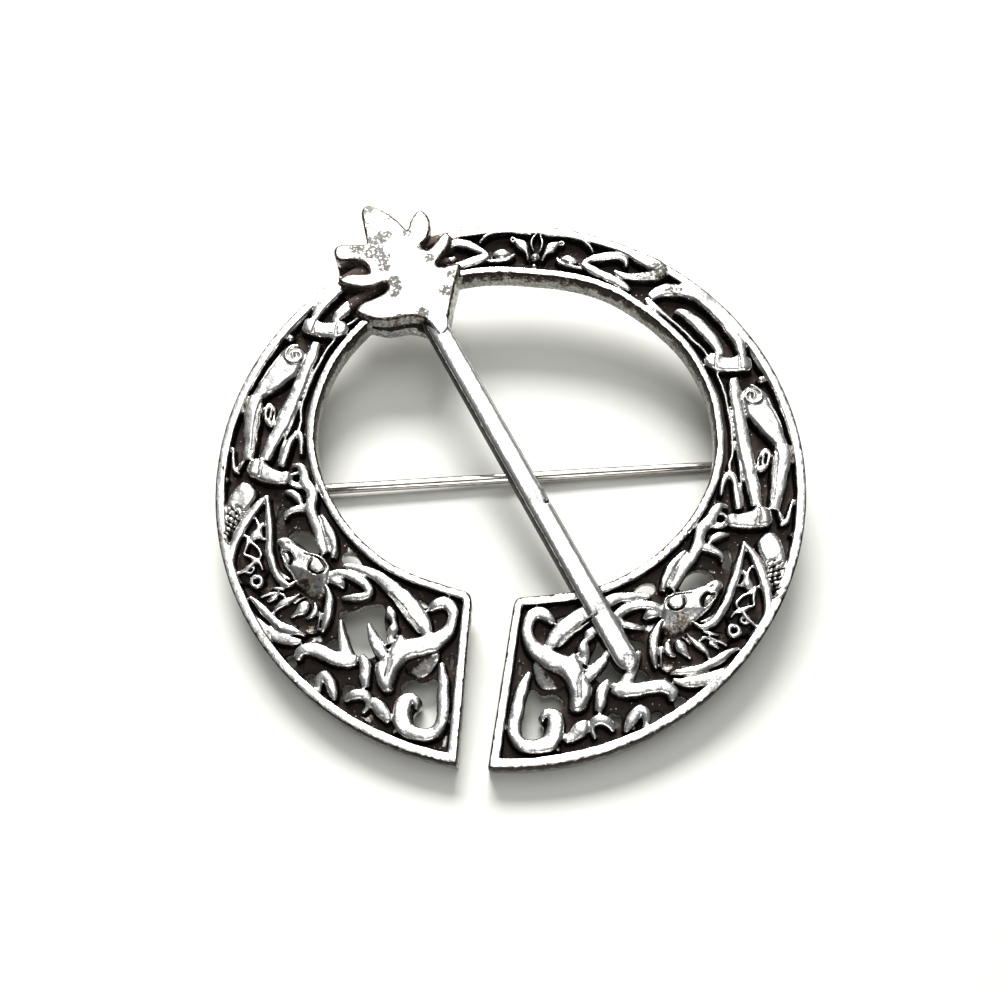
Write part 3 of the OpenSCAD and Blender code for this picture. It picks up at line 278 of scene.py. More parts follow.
# Middle, radius, half width, top
loops = [
    (19.5, -12, 0.42, 0.2, 0.95), (17.9, -2.5, 0.5, 0.16, 0.9), (20.35, -10.95, 0.35, 0.14, 0.85),
    (2.25, 23.45, 0.22, 0.09, 0.85)]
beads = [
    (12.1, -20.6, 0.3, 0.6), (21, 11.1, 0.36, 0.8), (0, 21.7, 0.42, 1.05), (0, 20.85, 0.22, 0.8),
    (24, -3.2, 0.25, 0.8), (22.1, -10.9, 0.2, 0.8), (0, 20.4, 0.15, 0.7), (1.1, 20.5, 0.13, 0.6),
    (6.4, -22.9, 0.2, 0.7), (9.2, -22.4, 0.2, 0.6)]
hip = {"middle": (20.15, 9.1), "first": 0.2, "last": 0.98, "turns": 1.4, "half": 0.15, "top": 1.3}
beast = {
    "top": 1.15, "edge": 0.5, "brow": -10.7, "fall": 0.45,     # below the brow the top falls away
    "outline": [
        (18.5, -8.3), (18.2, -7.95), (17.85, -7.85), (17.3, -7.95), (16.9, -8.3), (16.3, -8.7), (15.65, -9),
        (15, -9.15), (14.3, -9.4), (13.75, -10.1), (13.65, -10.8), (13.55, -11.7), (13.7, -12.6),
        (14.1, -13.2), (15, -13.1), (15.9, -12.4), (16.6, -11.6), (17.1, -10.8), (17.6, -10.3),
        (17.85, -9.75), (18.1, -9.2), (18.15, -8.9), (18.4, -8.65)],
}
# Lower plate of the head under its petals, in the ring's own millimetres
headPlate = [
    (-7.3, 12.5), (-8.8, 13.2), (-10.6, 13.5), (-12.4, 13), (-14.2, 13.2), (-15.6, 13.8), (-16.6, 15.3),
    (-17.5, 16.9), (-17.85, 18.2), (-18.4, 19.9), (-18.2, 20.6), (-15.75, 21.1), (-16.1, 22.7), (-16.4, 24.6),
    (-15.9, 25.1), (-13.8, 24.1), (-12.2, 22.9), (-11.6, 24.4), (-11.1, 25), (-10.3, 23.9), (-9.6, 22.7),
    (-8.5, 23), (-7.9, 22.2), (-7.8, 20.6), (-6.75, 19.6), (-6.95, 16), (-6.95, 13.4)]
# Outline of the petals over the web, in the ring's own millimetres: lower left lobe, its two
# neighbours, the middle petal, the right ones, the lower right lobe
headCrown = [
    (-7.5, 12.3), (-8.4, 13.2), (-9, 13.7), (-10, 13.95), (-11.2, 13.7), (-12.4, 13.35), (-13.4, 13.25),
    (-14.4, 13.45), (-15.4, 13.95), (-15.1, 14.7), (-14.6, 15.1), (-13.9, 15.5), (-13.15, 16), (-12.9, 16.6),
    (-13.1, 17.2), (-13.9, 16.85), (-15, 16.45), (-16.1, 16.5), (-17.1, 16.75), (-17.55, 17.1), (-17, 17.6),
    (-16.3, 17.85), (-15.1, 17.95), (-14.85, 18.2), (-15.2, 18.8), (-15.8, 19.25), (-16.6, 19.25),
    (-17.6, 19.15), (-18.2, 19.4), (-18.5, 20.3), (-18.2, 20.75), (-17.6, 20.95), (-16.2, 21.05),
    (-15.6, 21.2), (-15.75, 21.8), (-16.1, 22.8), (-16.5, 24.1), (-16.65, 25), (-16.25, 25.5), (-15.3, 25.3),
    (-14, 24.65), (-12.9, 23.8), (-12.1, 23.05), (-11.95, 23.7), (-11.75, 24.7), (-11.2, 25.45),
    (-10.5, 24.9), (-10.05, 24), (-9.98, 23),
    (-10.2, 22), (-10.55, 21.6), (-10.35, 21.15), (-9.85, 21), (-9.4, 21.6), (-9, 22.6), (-8.5, 23.15),
    (-8.05, 22.9), (-8, 22), (-8.4, 20.8), (-8.8, 19.9), (-8.7, 19.35), (-8.1, 19.4), (-7.2, 19.8),
    (-6.7, 19.85), (-6.85, 18), (-6.95, 15.9), (-7, 14), (-6.9, 13.2)]
# Rows: x, y, radius, amount of black added in round patches
darkPatches = [
    (5, -17.4, 1.4, 0.35), (17.8, -16.1, 0.8, 0.35), (16, -16.5, 0.8, 0.35), (22.6, -8.4, 1.1, 0.3),
    (21.6, -2.2, 0.6, 0.25), (21.6, 7.6, 0.9, 0.2), (7.7, -18.6, 0.7, 0.3), (11, 21.9, 0.9, 0.25),
    (14.4, -12.8, 1.2, 0.54), (15.7, -12, 1, 0.54), (15.2, -11.3, 0.6, 0.5)]
# Rows: x, y, radius, amount of thin grey film; on both sides of the ring, then on head and shank
ringFilmAndShade = [
    (15.2, -11.9, 1.8, 0.9), (17.6, -16.1, 1.6, 0.8), (5, -17.4, 1.8, 0.7), (22.4, -8, 1.8, 0.5),
    (20.4, -11, 1.4, 0.5), (21.7, 7.2, 1.6, 0.4), (20.4, -2.4, 1.6, 0.5), (18.4, 12.4, 1.6, 0.4),
    (8.2, -18.6, 1.4, 0.5), (13.4, -15.4, 1.2, 0.7), (7.2, -12.6, 1.6, 0.4), (12.8, -17.6, 1.2, 0.4),
    # these rows over the upper knot and the strands above the upper clamp are painted shade: they darken metal
    # that the lamps light white
    (11.3, 21.2, 1.1, 2.4), (9.9, 20.6, 0.9, 1.2), (12.8, 19.5, 1, 1.6), (15.2, 18.6, 1, 0.8)]
headFilm = [
    (-14.3, 22, 0.8, 1), (-14.9, 21.5, 0.8, 1), (-13.7, 22.4, 0.5, 0.9), (-15.4, 21.6, 0.5, 1.2),
    (-13.9, 19.8, 0.9, 0.75), (-14.4, 20.6, 0.8, 0.7), (-13.5, 18.8, 0.7, 0.8), (-12.4, 17.3, 0.75, 0.85),
    (-12, 16.6, 0.5, 0.7), (-12.2, 16.1, 0.6, 0.6), (-16.4, 20.7, 1.0, 0.7), (-15, 20.2, 0.9, 0.6),
    (-16.1, 25, 0.7, 0.8), (-15.5, 23.2, 0.7, 0.4), (-14, 24.3, 0.9, 0.4), (-9.4, 14.3, 0.7, 0.9),
    (-7.6, 16.8, 0.8, 0.7), (-7.3, 18.6, 0.7, 0.6), (-9.6, 20.1, 0.6, 0.8), (-10.4, 21.4, 0.6, 1.1),
    (-12.1, 22.7, 0.6, 0.8), (-4.7, 8.9, 0.7, 0.25), (2.6, -2.2, 1.1, 0.25), (8.6, -11.6, 1, 0.25),
    (11.2, -15.4, 0.9, 0.3)]

ring = {
    "diameter": 50, "thickness": 2.2, "floor": 1.0, "outerRim": 0.8, "innerRim": 0.7,
    "gapOuter": 2.4, "gapInner": 3.4, "strand": 1.0,
    "voxel": 0.08,     # size of the fusing grid
    "softness": 1,                             # rounds of smoothing, as a worn mould gives
    "swell": 0.5,                              # how much wider a strand's foot is than its top
    "triangles": 190000,
    "beadGrid": 0.07, "massGrid": 0.08,        # how fine the mounds are
    "waves": ((3, 0.7, (0.03, 0.03, 0.02)), (4, 0.3, (0.018, 0.018, 0.01))),  # seed, size, push along x, y, z
}
head = {
    "neck": (-7.9, 13.3), "angle": 33.6, "length": 15,
    "rise": 0.61, "petalRise": 0.4, "edge": 0.17, "grid": 0.08,
}
shank = {"length": 35.3, "width": 2.1, "depth": 1.7, "rise": 0.4}


# Small geometry helpers
def smoothRows(rows, pieces, closed=False):
    # Catmull-Rom through the rows, with so many pieces to each stretch
    rows = np.array(rows, float)
    count = len(rows)
    out = []
    for i in range(count if closed else count - 1):
        if closed:
            a, b, c, d = (rows[(i + k) % count] for k in (-1, 0, 1, 2))
        else:
            a, b, c, d = (rows[min(max(i + k, 0), count - 1)] for k in (-1, 0, 1, 2))
        for k in range(pieces):
            t = k / pieces
            out.append(0.5 * (2 * b + (c - a) * t + (2 * a - 5 * b + 4 * c - d) * t * t
                              + (3 * b - a - 3 * c + d) * t ** 3))
    if not closed:
        out.append(rows[-1])
    return np.array(out)


def mirrored(rows):
    rows = np.array(rows, float).copy()
    rows[:, 0] *= -1
    return rows


def circle(x, y, radius, angles):
    return np.c_[x + radius * np.cos(angles), y + radius * np.sin(angles)]


def arc(centre, radius, start, end, count):
    return circle(*centre, radius, np.radians(np.linspace(start, end, count)))


def inset(outline, distance):
    # closed outline moved to its left by the distance, with mitred corners
    a = outline - np.roll(outline, 1, 0)
    b = np.roll(outline, -1, 0) - outline
    a /= np.linalg.norm(a, axis=1)[:, None]
    b /= np.linalg.norm(b, axis=1)[:, None]
    normal = np.c_[-(a + b)[:, 1], (a + b)[:, 0]]
    normal /= np.linalg.norm(normal, axis=1)[:, None]
    miter = 1 / np.maximum(0.35, normal[:, 0] * -a[:, 1] + normal[:, 1] * a[:, 0])
    return outline + normal * (distance * miter)[:, None], miter


def distanceTo(points, outline, closed=True):
    # distance of each point from a line of points
    starts = outline if closed else outline[:-1]
    ends = np.roll(outline, -1, 0) if closed else outline[1:]
    best = np.full(len(points), 1e9)
    for s, e in zip(starts, ends):
        d = e - s
        t = np.clip(((points - s) @ d) / max(d @ d, 1e-12), 0, 1)
        best = np.minimum(best, np.hypot(*(points - s - t[:, None] * d).T))
    return best


def isInside(points, outline):
    x, y = points.T
    inside = np.zeros(len(points), bool)
    for (xi, yi), (xj, yj) in zip(outline, np.roll(outline, 1, 0)):
        if yi != yj:
            inside ^= ((yi > y) != (yj > y)) & (x < (xj - xi) * (y - yi) / (yj - yi) + xi)
    return inside


def signedArea(outline):
    x, y = outline.T
    return 0.5 * float(np.sum(x * np.roll(y, -1) - np.roll(x, -1) * y))


def readGrid(field, at):
    # values of a grid at places between its points
    i, j = at.astype(int).T
    u, v = (at - at.astype(int)).T
    return ((1 - u) * (1 - v) * field[i, j] + u * (1 - v) * field[i + 1, j]
            + (1 - u) * v * field[i, j + 1] + u * v * field[i + 1, j + 1])


def newObject(name, data):
    made = bpy.data.objects.new(name, data)
    bpy.context.scene.collection.objects.link(made)
    return made


def discard(thing):
    data = thing.data
    bpy.data.objects.remove(thing)
    (bpy.data.meshes if isinstance(data, bpy.types.Mesh) else bpy.data.curves).remove(data)


def evaluatedMesh(thing):
    # plain mesh of an object with its modifiers worked out
    graph = bpy.context.evaluated_depsgraph_get()
    return bpy.data.meshes.new_from_object(thing.evaluated_get(graph))


def joinMeshes(name, meshes, mostCorners=None):
    # one mesh from several; faces with more corners than given are split
    work = bmesh.new()
    for mesh in meshes:
        work.from_mesh(mesh)
        bpy.data.meshes.remove(mesh)
    if mostCorners:
        bmesh.ops.triangulate(work, faces=[f for f in work.faces if len(f.verts) > mostCorners])
    mesh = bpy.data.meshes.new(name)
    work.to_mesh(mesh)
    work.free()
    return mesh


def slab(name, outline, cuts, low, high):
    # flat plate with holes, from a filled curve
    curve = bpy.data.curves.new(name, "CURVE")
    curve.dimensions = "2D"
    curve.fill_mode = "BOTH"
    curve.extrude = (high - low) / 2
    for line in [outline, *cuts]:
        spline = curve.splines.new("POLY")
        spline.points.add(len(line) - 1)
        spline.points.foreach_set("co", np.c_[line, np.zeros(len(line)), np.ones(len(line))].ravel())
        spline.use_cyclic_u = True
    holder = newObject(name, curve)
    mesh = evaluatedMesh(holder)
    discard(holder)
    work = bmesh.new()
    work.from_mesh(mesh)
    bmesh.ops.remove_doubles(work, verts=work.verts, dist=1e-5)
    bmesh.ops.recalc_face_normals(work, faces=work.faces)
    bmesh.ops.translate(work, verts=work.verts, vec=(0, 0, (low + high) / 2))
    work.to_mesh(mesh)
    work.free()
    return mesh


def mound(name, outline, topOf, base, grid):
    # closed solid over an outline: a fine grid whose top follows topOf(points, distance from the edge)
    low = outline.min(0) - grid
    high = outline.max(0) + grid
    nx, ny = (np.ceil((high - low) / grid).astype(int) + 1)
    gx, gy = np.meshgrid(low[0] + grid * np.arange(nx), low[1] + grid * np.arange(ny))
    points = np.c_[gx.ravel(), gy.ravel()]
    depth = distanceTo(points, outline) * np.where(isInside(points, outline), 1, -1)
    keep = depth.reshape(ny, nx) > -0.6 * grid
    cell = keep[:-1, :-1] & keep[1:, :-1] & keep[:-1, 1:] & keep[1:, 1:]
    top = topOf(points, np.maximum(depth, 0))
    corner = (np.arange(ny - 1)[:, None] * nx + np.arange(nx - 1)[None, :])
    c = corner[cell]
    quads = np.c_[c, c + 1, c + nx + 1, c + nx]
    total = nx * ny
    faces = [quads, quads[:, ::-1] + total]
    padded = np.pad(cell, 1)
    for shift, a, b in (((0, -1), 0, nx), ((0, 1), nx + 1, 1), ((-1, 0), 1, 0), ((1, 0), nx, nx + 1)):
        edge = cell & ~padded[1 + shift[0]:ny + shift[0], 1 + shift[1]:nx + shift[1]]
        e = corner[edge]
        faces.append(np.c_[e + a, e + b, e + b + total, e + a + total][:, ::-1])
    faces = np.vstack(faces)
    verts = np.vstack([np.c_[points, top], np.c_[points, np.full(len(points), base)]])
    used, back = np.unique(faces, return_inverse=True)
    mesh = bpy.data.meshes.new(name)
    mesh.from_pydata(verts[used].tolist(), [], back.reshape(faces.shape).tolist())
    mesh.update()
    return mesh


def roundEdge(depth, radius):
    # how far a rounded edge lies below its face
    d = np.minimum(depth, radius) / radius
    return radius * (1 - np.sqrt(np.maximum(0, 1 - (1 - d) ** 2)))


def addNode(tree, kind, given=None, **settings):
    # new node; given holds its inputs, each a value or a socket to link from
    made = tree.nodes.new(kind)
    for key, value in settings.items():
        setattr(made, key, value)
    for key, value in (given or {}).items():
        if isinstance(value, bpy.types.NodeSocket):
            tree.links.new(value, made.inputs[key])
        else:
            made.inputs[key].default_value = value
    return made


# Strand maker: a Geometry Nodes tree that sweeps a rounded section along lines
def strandTree():
    tree = bpy.data.node_groups.new("strandSweep", "GeometryNodeTree")
    for name, kind, value in (
            ("Geometry", "Geometry", None), ("Strand Width", "Float", 1.0), ("Relief Depth", "Float", 1.2),
            ("Floor Height", "Float", 1.0), ("Sink", "Float", 0.3), ("Section Points", "Int", 16),
            ("Side Fullness", "Float", 0.75), ("Top Fullness", "Float", 0.8), ("Step Length", "Float", 0.2),
            ("Smooth Path", "Bool", True), ("Finish", "Material", None)):
        socket = tree.interface.new_socket(name=name, in_out="INPUT", socket_type="NodeSocket" + kind)
        if value is not None:
            socket.default_value = value
    tree.interface.new_socket(name="Geometry", in_out="OUTPUT", socket_type="NodeSocketGeometry")

    def node(kind, given=None, **settings):
        return addNode(tree, "GeometryNode" + kind, given, **settings).outputs[0]

    def calc(operation, *values):
        return mathNode(tree, operation, *values)

    def vector(operation, given):
        return addNode(tree, "ShaderNodeVectorMath", given, operation=operation).outputs[0]

    def keep(geometry, name, value):
        return node("StoreNamedAttribute", {"Geometry": geometry, "Name": name, "Value": value},
                    data_type="FLOAT_VECTOR", domain="POINT")

    def kept(name, kind="FLOAT_VECTOR"):
        return node("InputNamedAttribute", {"Name": name}, data_type=kind)

    given = addNode(tree, "NodeGroupInput").outputs
    lines = node("MeshToCurve", {"Mesh": given["Geometry"]})
    bent = node("CurveSplineType", {"Curve": lines}, spline_type="CATMULL_ROM")
    evened = node("ResampleCurve", {"Curve": bent, "Length": given["Step Length"]}, mode="LENGTH")
    either = {"Switch": given["Smooth Path"], "False": lines, "True": evened}
    path = node("Switch", either, input_type="GEOMETRY")

    # each point keeps its own place, the direction across the path and its place in the section
    across = vector("NORMALIZE", {0: vector("CROSS_PRODUCT", {0: (0, 0, 1), 1: node("InputTangent")})})
    spine = keep(keep(path, "across", across), "spine", node("InputPosition"))
    points = given["Section Points"]
    profile = node("CurvePrimitiveCircle", {"Resolution": points, "Radius": 0.1}, mode="RADIUS")
    section = keep(profile, "section", vector("SCALE", {0: node("InputPosition"), "Scale": 10}))
    swept = node("CurveToMesh", {"Curve": spine, "Profile Curve": section, "Fill Caps": True})

    spot = addNode(tree, "ShaderNodeSeparateXYZ", {0: kept("section")}).outputs
    fuller = calc("POWER", calc("ABSOLUTE", spot[0]), given["Side Fullness"])
    sideways = calc("MULTIPLY", calc("SIGN", spot[0]), fuller)
    reach = calc("MULTIPLY", sideways, calc("MULTIPLY", kept("halfWidth", "FLOAT"), given["Strand Width"]))
    raised = calc("POWER", calc("MAXIMUM", spot[1], 0.0), given["Top Fullness"])
    above = calc("MULTIPLY", raised, calc("MULTIPLY", kept("top", "FLOAT"), given["Relief Depth"]))
    under = calc("MULTIPLY", calc("LESS_THAN", spot[1], -0.01), given["Sink"])
    height = calc("SUBTRACT", calc("ADD", given["Floor Height"], above), under)
    sidestep = vector("SCALE", {0: kept("across"), "Scale": reach})
    level = vector("ADD", {0: kept("spine"), 1: sidestep})
    upward = addNode(tree, "ShaderNodeCombineXYZ", {2: height}).outputs[0]
    moved = node("SetPosition", {"Geometry": swept, "Position": vector("ADD", {0: level, 1: upward})})
    real = node("RealizeInstances", {0: moved})
    addNode(tree, "NodeGroupOutput", {0: node("SetMaterial", {"Geometry": real, "Material": given["Finish"]})})
    return tree


def sweepLines(tree, name, lines, closed, finish, **inputs):
    # lines: arrays of x, y, half width and top; the tree turns them into solid strands
    rows = np.vstack(lines)
    edges, first = [], 0
    for line in lines:
        count = len(line)
        edges += [(first + i, first + i + 1) for i in range(count - 1)]
        if closed:
            edges.append((first + count - 1, first))
        first += count
    mesh = bpy.data.meshes.new(name)
    mesh.from_pydata(np.c_[rows[:, :2], np.zeros(len(rows))].tolist(), edges, [])
    for key, column in (("halfWidth", 2), ("top", 3)):
        attribute = mesh.attributes.new(key, "FLOAT", "POINT")
        attribute.data.foreach_set("value", rows[:, column].astype(np.float32))
    carrier = newObject(name, mesh)
    modifier = carrier.modifiers.new("sweep", "NODES")
    modifier.node_group = tree
    sockets = {s.name: s.identifier for s in tree.interface.items_tree if s.in_out == "INPUT"}
    for key, value in {"Finish": finish, **inputs}.items():
        modifier[sockets[key]] = value
    carrier.data.update()
    made = evaluatedMesh(carrier)
    discard(carrier)
    return made


# Materials
def newMaterial(name):
    made = bpy.data.materials.new(name)
    made.use_nodes = True
    tree = made.node_tree
    tree.nodes.clear()
    shader = addNode(tree, "ShaderNodeBsdfPrincipled")
    addNode(tree, "ShaderNodeOutputMaterial", {0: shader.outputs[0]})
    return made, tree, shader


def noise(tree, coordinates, scale, detail=3.0, roughness=0.5):
    return addNode(tree, "ShaderNodeTexNoise", {"Vector": coordinates, "Scale": scale, "Detail": detail,
                                                "Roughness": roughness}).outputs["Fac"]


def mapRange(tree, value, low, high, toLow=0.0, toHigh=1.0):
    return addNode(tree, "ShaderNodeMapRange", {"Value": value, "From Min": low, "From Max": high,
                                                "To Min": toLow, "To Max": toHigh}, clamp=True).outputs[0]


def mixColour(tree, share, first, second):
    first, second = ((*colour, 1) if isinstance(colour, tuple) else colour for colour in (first, second))
    return addNode(tree, "ShaderNodeMix", {"Factor": share, 6: first, 7: second}, data_type="RGBA").outputs[2]


def mathNode(tree, operation, *values, clamp=False):
    given = dict(enumerate(values))
    return addNode(tree, "ShaderNodeMath", given, operation=operation, use_clamp=clamp).outputs[0]


def bump(tree, height, strength, distance, below=None):
    given = {"Strength": strength, "Distance": distance, "Height": height}
    if below is not None:
        given["Normal"] = below
    return addNode(tree, "ShaderNodeBump", given).outputs[0]


# Antique silver: bright metal, a thin film, brown, then black; scales in patches to the metre
silver = {
    "bright": (0.93, 0.925, 0.91), "dull": (0.66, 0.635, 0.575), "filmAndShade": (0.06, 0.057, 0.052),
    "brown": (0.2, 0.165, 0.13), "oxide": (0.03, 0.0235, 0.0205),
    "roughBright": 0.17, "roughOxide": 0.42, "roughFilm": 0.2, "roughGrain": 0.12,
    "blotch": (1400, 0.9), "speck": (4500, 0.5),        # scale, and how much it breaks up the black
    "sparkle": 5200, "streaks": 3800, "grain": 9000, "cast": 2200,
    "castHeight": 0.0001, "grainHeight": 0.00002,
}


def antiqueSilver():
    made, tree, shader = newMaterial("antiqueSilver")
    place = addNode(tree, "ShaderNodeTexCoord").outputs["Object"]
    # this attribute holds patina in the hollows plus painted shade on steep flanks, along the outlines, round
    # the petals and on the head's plate
    patinaAndShade = addNode(tree, "ShaderNodeAttribute", attribute_name="patinaAndShade").outputs["Fac"]
    filmAndShade = addNode(tree, "ShaderNodeAttribute", attribute_name="filmAndShade").outputs["Fac"]

    def broken(value, field, amount):
        pushed = mathNode(tree, "MULTIPLY", mathNode(tree, "SUBTRACT", field, 0.5), amount)
        return mathNode(tree, "ADD", value, pushed)

    scale, amount = silver["blotch"]
    black = broken(patinaAndShade, noise(tree, place, scale, 4, 0.6), amount)
    scale, amount = silver["speck"]
    black = broken(black, noise(tree, place, scale, 2, 0.5), amount)
    sparkle = mapRange(tree, noise(tree, place, silver["sparkle"], 2, 0.6), 0.66, 0.72, 0, 0.6)
    share = mapRange(tree, mathNode(tree, "SUBTRACT", black, sparkle), 0.36, 0.64)
    streaks = mapRange(tree, noise(tree, place, silver["streaks"], 5, 0.65), 0.4, 0.58, 0.25, 1.2)
    veil = mathNode(tree, "MULTIPLY", filmAndShade, streaks, clamp=True)
    grain = noise(tree, place, silver["grain"], 3, 0.6)
    tone = mixColour(tree, mapRange(tree, grain, 0.45, 0.7), silver["bright"], silver["dull"])
    tone = mixColour(tree, veil, tone, silver["filmAndShade"])
    thin = mixColour(tree, mapRange(tree, share, 0, 0.5), tone, silver["brown"])
    colour = mixColour(tree, mapRange(tree, share, 0.5, 1), thin, silver["oxide"])
    tree.links.new(colour, shader.inputs["Base Color"])
    rough = mathNode(tree, "ADD", mapRange(tree, share, 0, 1, silver["roughBright"], silver["roughOxide"]),
                     mathNode(tree, "MULTIPLY", grain, silver["roughGrain"]))
    rough = mathNode(tree, "ADD", rough, mathNode(tree, "MULTIPLY", veil, silver["roughFilm"]))
    tree.links.new(rough, shader.inputs["Roughness"])
    shader.inputs["Metallic"].default_value = 1
    coarse = bump(tree, noise(tree, place, silver["cast"], 3, 0.5), 0.35, silver["castHeight"])
    tree.links.new(bump(tree, grain, 0.3, silver["grainHeight"], coarse), shader.inputs["Normal"])
    return made


silverFinish = antiqueSilver()
crownLine = smoothRows(headCrown, 2, True)
plateLine = smoothRows(headPlate, 3, True)
headPlace = Matrix.Translation((*head["neck"], 0)) @ Matrix.Rotation(math.radians(head["angle"]), 4, "Z")


# The casting: ring, relief, head and shank fused into one
def ringLines():
    # outline of the ring: its circle from the right terminal's corner round the top, then gap and opening
    radius = ring["diameter"] / 2
    start = math.asin(ring["gapOuter"] / 2 / radius)
    outer = circle(0, 0, radius, np.linspace(-math.pi / 2 + start, 1.5 * math.pi - start, 160))
    inner = ring["gapInner"] / 2
    corner = smoothRows([(2.7, -10.95), (inner + 0.4, -11.12), (inner + 0.1, -11.45), (inner, -12)], 3)[1:]
    openingSide = np.vstack([smoothRows(opening, 4), corner])
    outline = np.vstack([outer, mirrored(openingSide)[::-1], openingSide[1:]])
    return outline[::-1] if signedArea(outline) < 0 else outline


def reliefLines():
    # every raised line of the right half
    raised = [np.array(s, float) for s in strands + clamps]
    for line in raised:
        # the tables hold the bright top's width; the foot of a broad strand is wider
        line[:, 2] *= 1 + ring["swell"] * np.clip((line[:, 2] - 0.18) / 0.1, 0, 1)
    turn = np.linspace(0, 2 * math.pi, 17)
    for x, y, r, half, top in loops:
        raised.append(np.c_[circle(x, y, r, turn), np.full(17, half), np.full(17, top)])
    along = np.linspace(0, 1, 30)
    radius = hip["first"] + (hip["last"] - hip["first"]) * along
    coil = circle(*hip["middle"], radius, np.radians(-40 + 360 * hip["turns"] * along))
    raised.append(np.c_[coil, np.full(30, hip["half"]), np.full(30, hip["top"])])
    return raised


def makeCasting():
    floor, relief = ring["floor"], ring["thickness"] - ring["floor"]
    tree = strandTree()
    outline = ringLines()
    cuts = [smoothRows(h, 3, True) for h in holes]
    parts = [slab("floor", outline, cuts + [mirrored(c) for c in cuts], 0, floor)]

    # rims: the outer one runs round the circle, the inner one along the gap and the opening
    onCircle = np.hypot(*outline.T) > ring["diameter"] / 2 - 1e-6
    width = np.where(onCircle, ring["outerRim"], ring["innerRim"])
    middle, miter = inset(outline, 1.0)
    middle = outline + (middle - outline) * (width / 2)[:, None]
    rim = np.c_[middle, width / 2 / ring["strand"] * miter, np.ones(len(outline))]
    sizes = {"Relief Depth": relief, "Floor Height": floor, "Strand Width": ring["strand"]}
    parts.append(sweepLines(tree, "rims", [rim], True, silverFinish, **sizes, **{
        "Smooth Path": False, "Sink": 0.5, "Side Fullness": 0.15, "Top Fullness": 0.22}))
    raised = reliefLines()
    raised += [mirrored(line) for line in raised]
    parts.append(sweepLines(tree, "strands", raised, False, silverFinish, **sizes, **{
        "Sink": 0.3, "Side Fullness": 0.5, "Top Fullness": 0.33}))

    base = floor - 0.3
    for side in (1, -1):
        turn = np.array([side, 1])
        for x, y, r, high in beads:
            disc = circle(x, y, r, np.linspace(0, 2 * math.pi, 24, endpoint=False)) * turn
            parts.append(mound("bead", disc, lambda p, d: floor + relief * high - roundEdge(d, r), base,
                               ring["beadGrid"]))
        for rows, high, edge, slope in masses:
            form = smoothRows(rows, 3, True) * turn
            slant, centre = np.array(slope) * turn, form.mean(0)
            parts.append(mound("mass", form, lambda p, d: floor + relief * high + (p - centre) @ slant
                               - roundEdge(d, edge), base, ring["massGrid"]))

        def faceTop(p, d):
            # level over snout and eyes, falling away over the forehead
            fall = np.clip(beast["brow"] - p[:, 1] + 0.15 * (np.abs(p[:, 0]) - 15), 0, 2)
            return floor + relief * beast["top"] - beast["fall"] * fall - roundEdge(d, beast["edge"])

        face = smoothRows(beast["outline"], 3, True) * turn
        parts.append(mound("beast", face, faceTop, base, ring["massGrid"]))

    # head: its lower plate, then the petals with a low dome over them
    parts.append(slab("plate", plateLine, [], 0, floor + 0.3))
    domeAt = np.array((headPlace @ Vector((0, 0.4 * head["length"], 0)))[:2])

    def crownTop(p, d):
        dome = np.clip(1 - (np.hypot(*(p - domeAt).T) / (0.62 * head["length"])) ** 2, 0, 1)
        z = ring["thickness"] + head["petalRise"] + (head["rise"] - head["petalRise"]) * dome
        return z - roundEdge(d, head["edge"])

    parts.append(mound("crown", crownLine, crownTop, 0.9, head["grid"]))

    # shank: a swept bar with a round end
    end, r = -shank["length"], shank["width"] / 2
    rows = [(0, 0.12 * head["length"], 1, 1), (0, -1, 1, 1), (0, end + 1.2, 1, 1)]
    rows += [(0, end + 1.05 * r * (1 - math.cos(q)), math.sin(q), 1)
             for q in np.radians((75, 60, 45, 30, 15, 5))]
    bar = sweepLines(tree, "shank", [np.array(rows)], False, silverFinish, **{
        "Smooth Path": False, "Strand Width": r, "Relief Depth": 0.75 * shank["depth"],
        "Floor Height": ring["thickness"] + shank["rise"] - 0.75 * shank["depth"],
        "Sink": 0.25 * shank["depth"], "Side Fullness": 0.5, "Top Fullness": 0.55, "Section Points": 32})
    bar.transform(headPlace)
    parts.append(bar)
    print("casting: parts made", len(parts))

    rough = newObject("rough", joinMeshes("casting", parts, 4))
    fuse = rough.modifiers.new("fuse", "REMESH")
    fuse.mode = "VOXEL"
    fuse.voxel_size = ring["voxel"]
    fused = evaluatedMesh(rough)
    discard(rough)
    print("casting: fused", len(fused.vertices), "points")
    return fused


def meshArrays(mesh):
    points = np.zeros(len(mesh.vertices) * 3, np.float32)
    mesh.vertices.foreach_get("co", points)
    edges = np.zeros(len(mesh.edges) * 2, np.int32)
    mesh.edges.foreach_get("vertices", edges)
    return points.reshape(-1, 3).astype(float), edges.reshape(-1, 2)


def relax(points, edges, rounds, share=0.5):
    # each point moves towards the mean of its neighbours, then partly back, which keeps the volume
    count = np.bincount(edges.ravel(), minlength=len(points))[:, None]
    for i in range(rounds * 2):
        total = np.zeros_like(points)
        for axis in range(3):
            total[:, axis] = (np.bincount(edges[:, 0], points[edges[:, 1], axis], len(points))
                              + np.bincount(edges[:, 1], points[edges[:, 0], axis], len(points)))
        step = share if i % 2 == 0 else -(share + 0.03)
        points = points + step * (total / np.maximum(count, 1) - points)
    return points


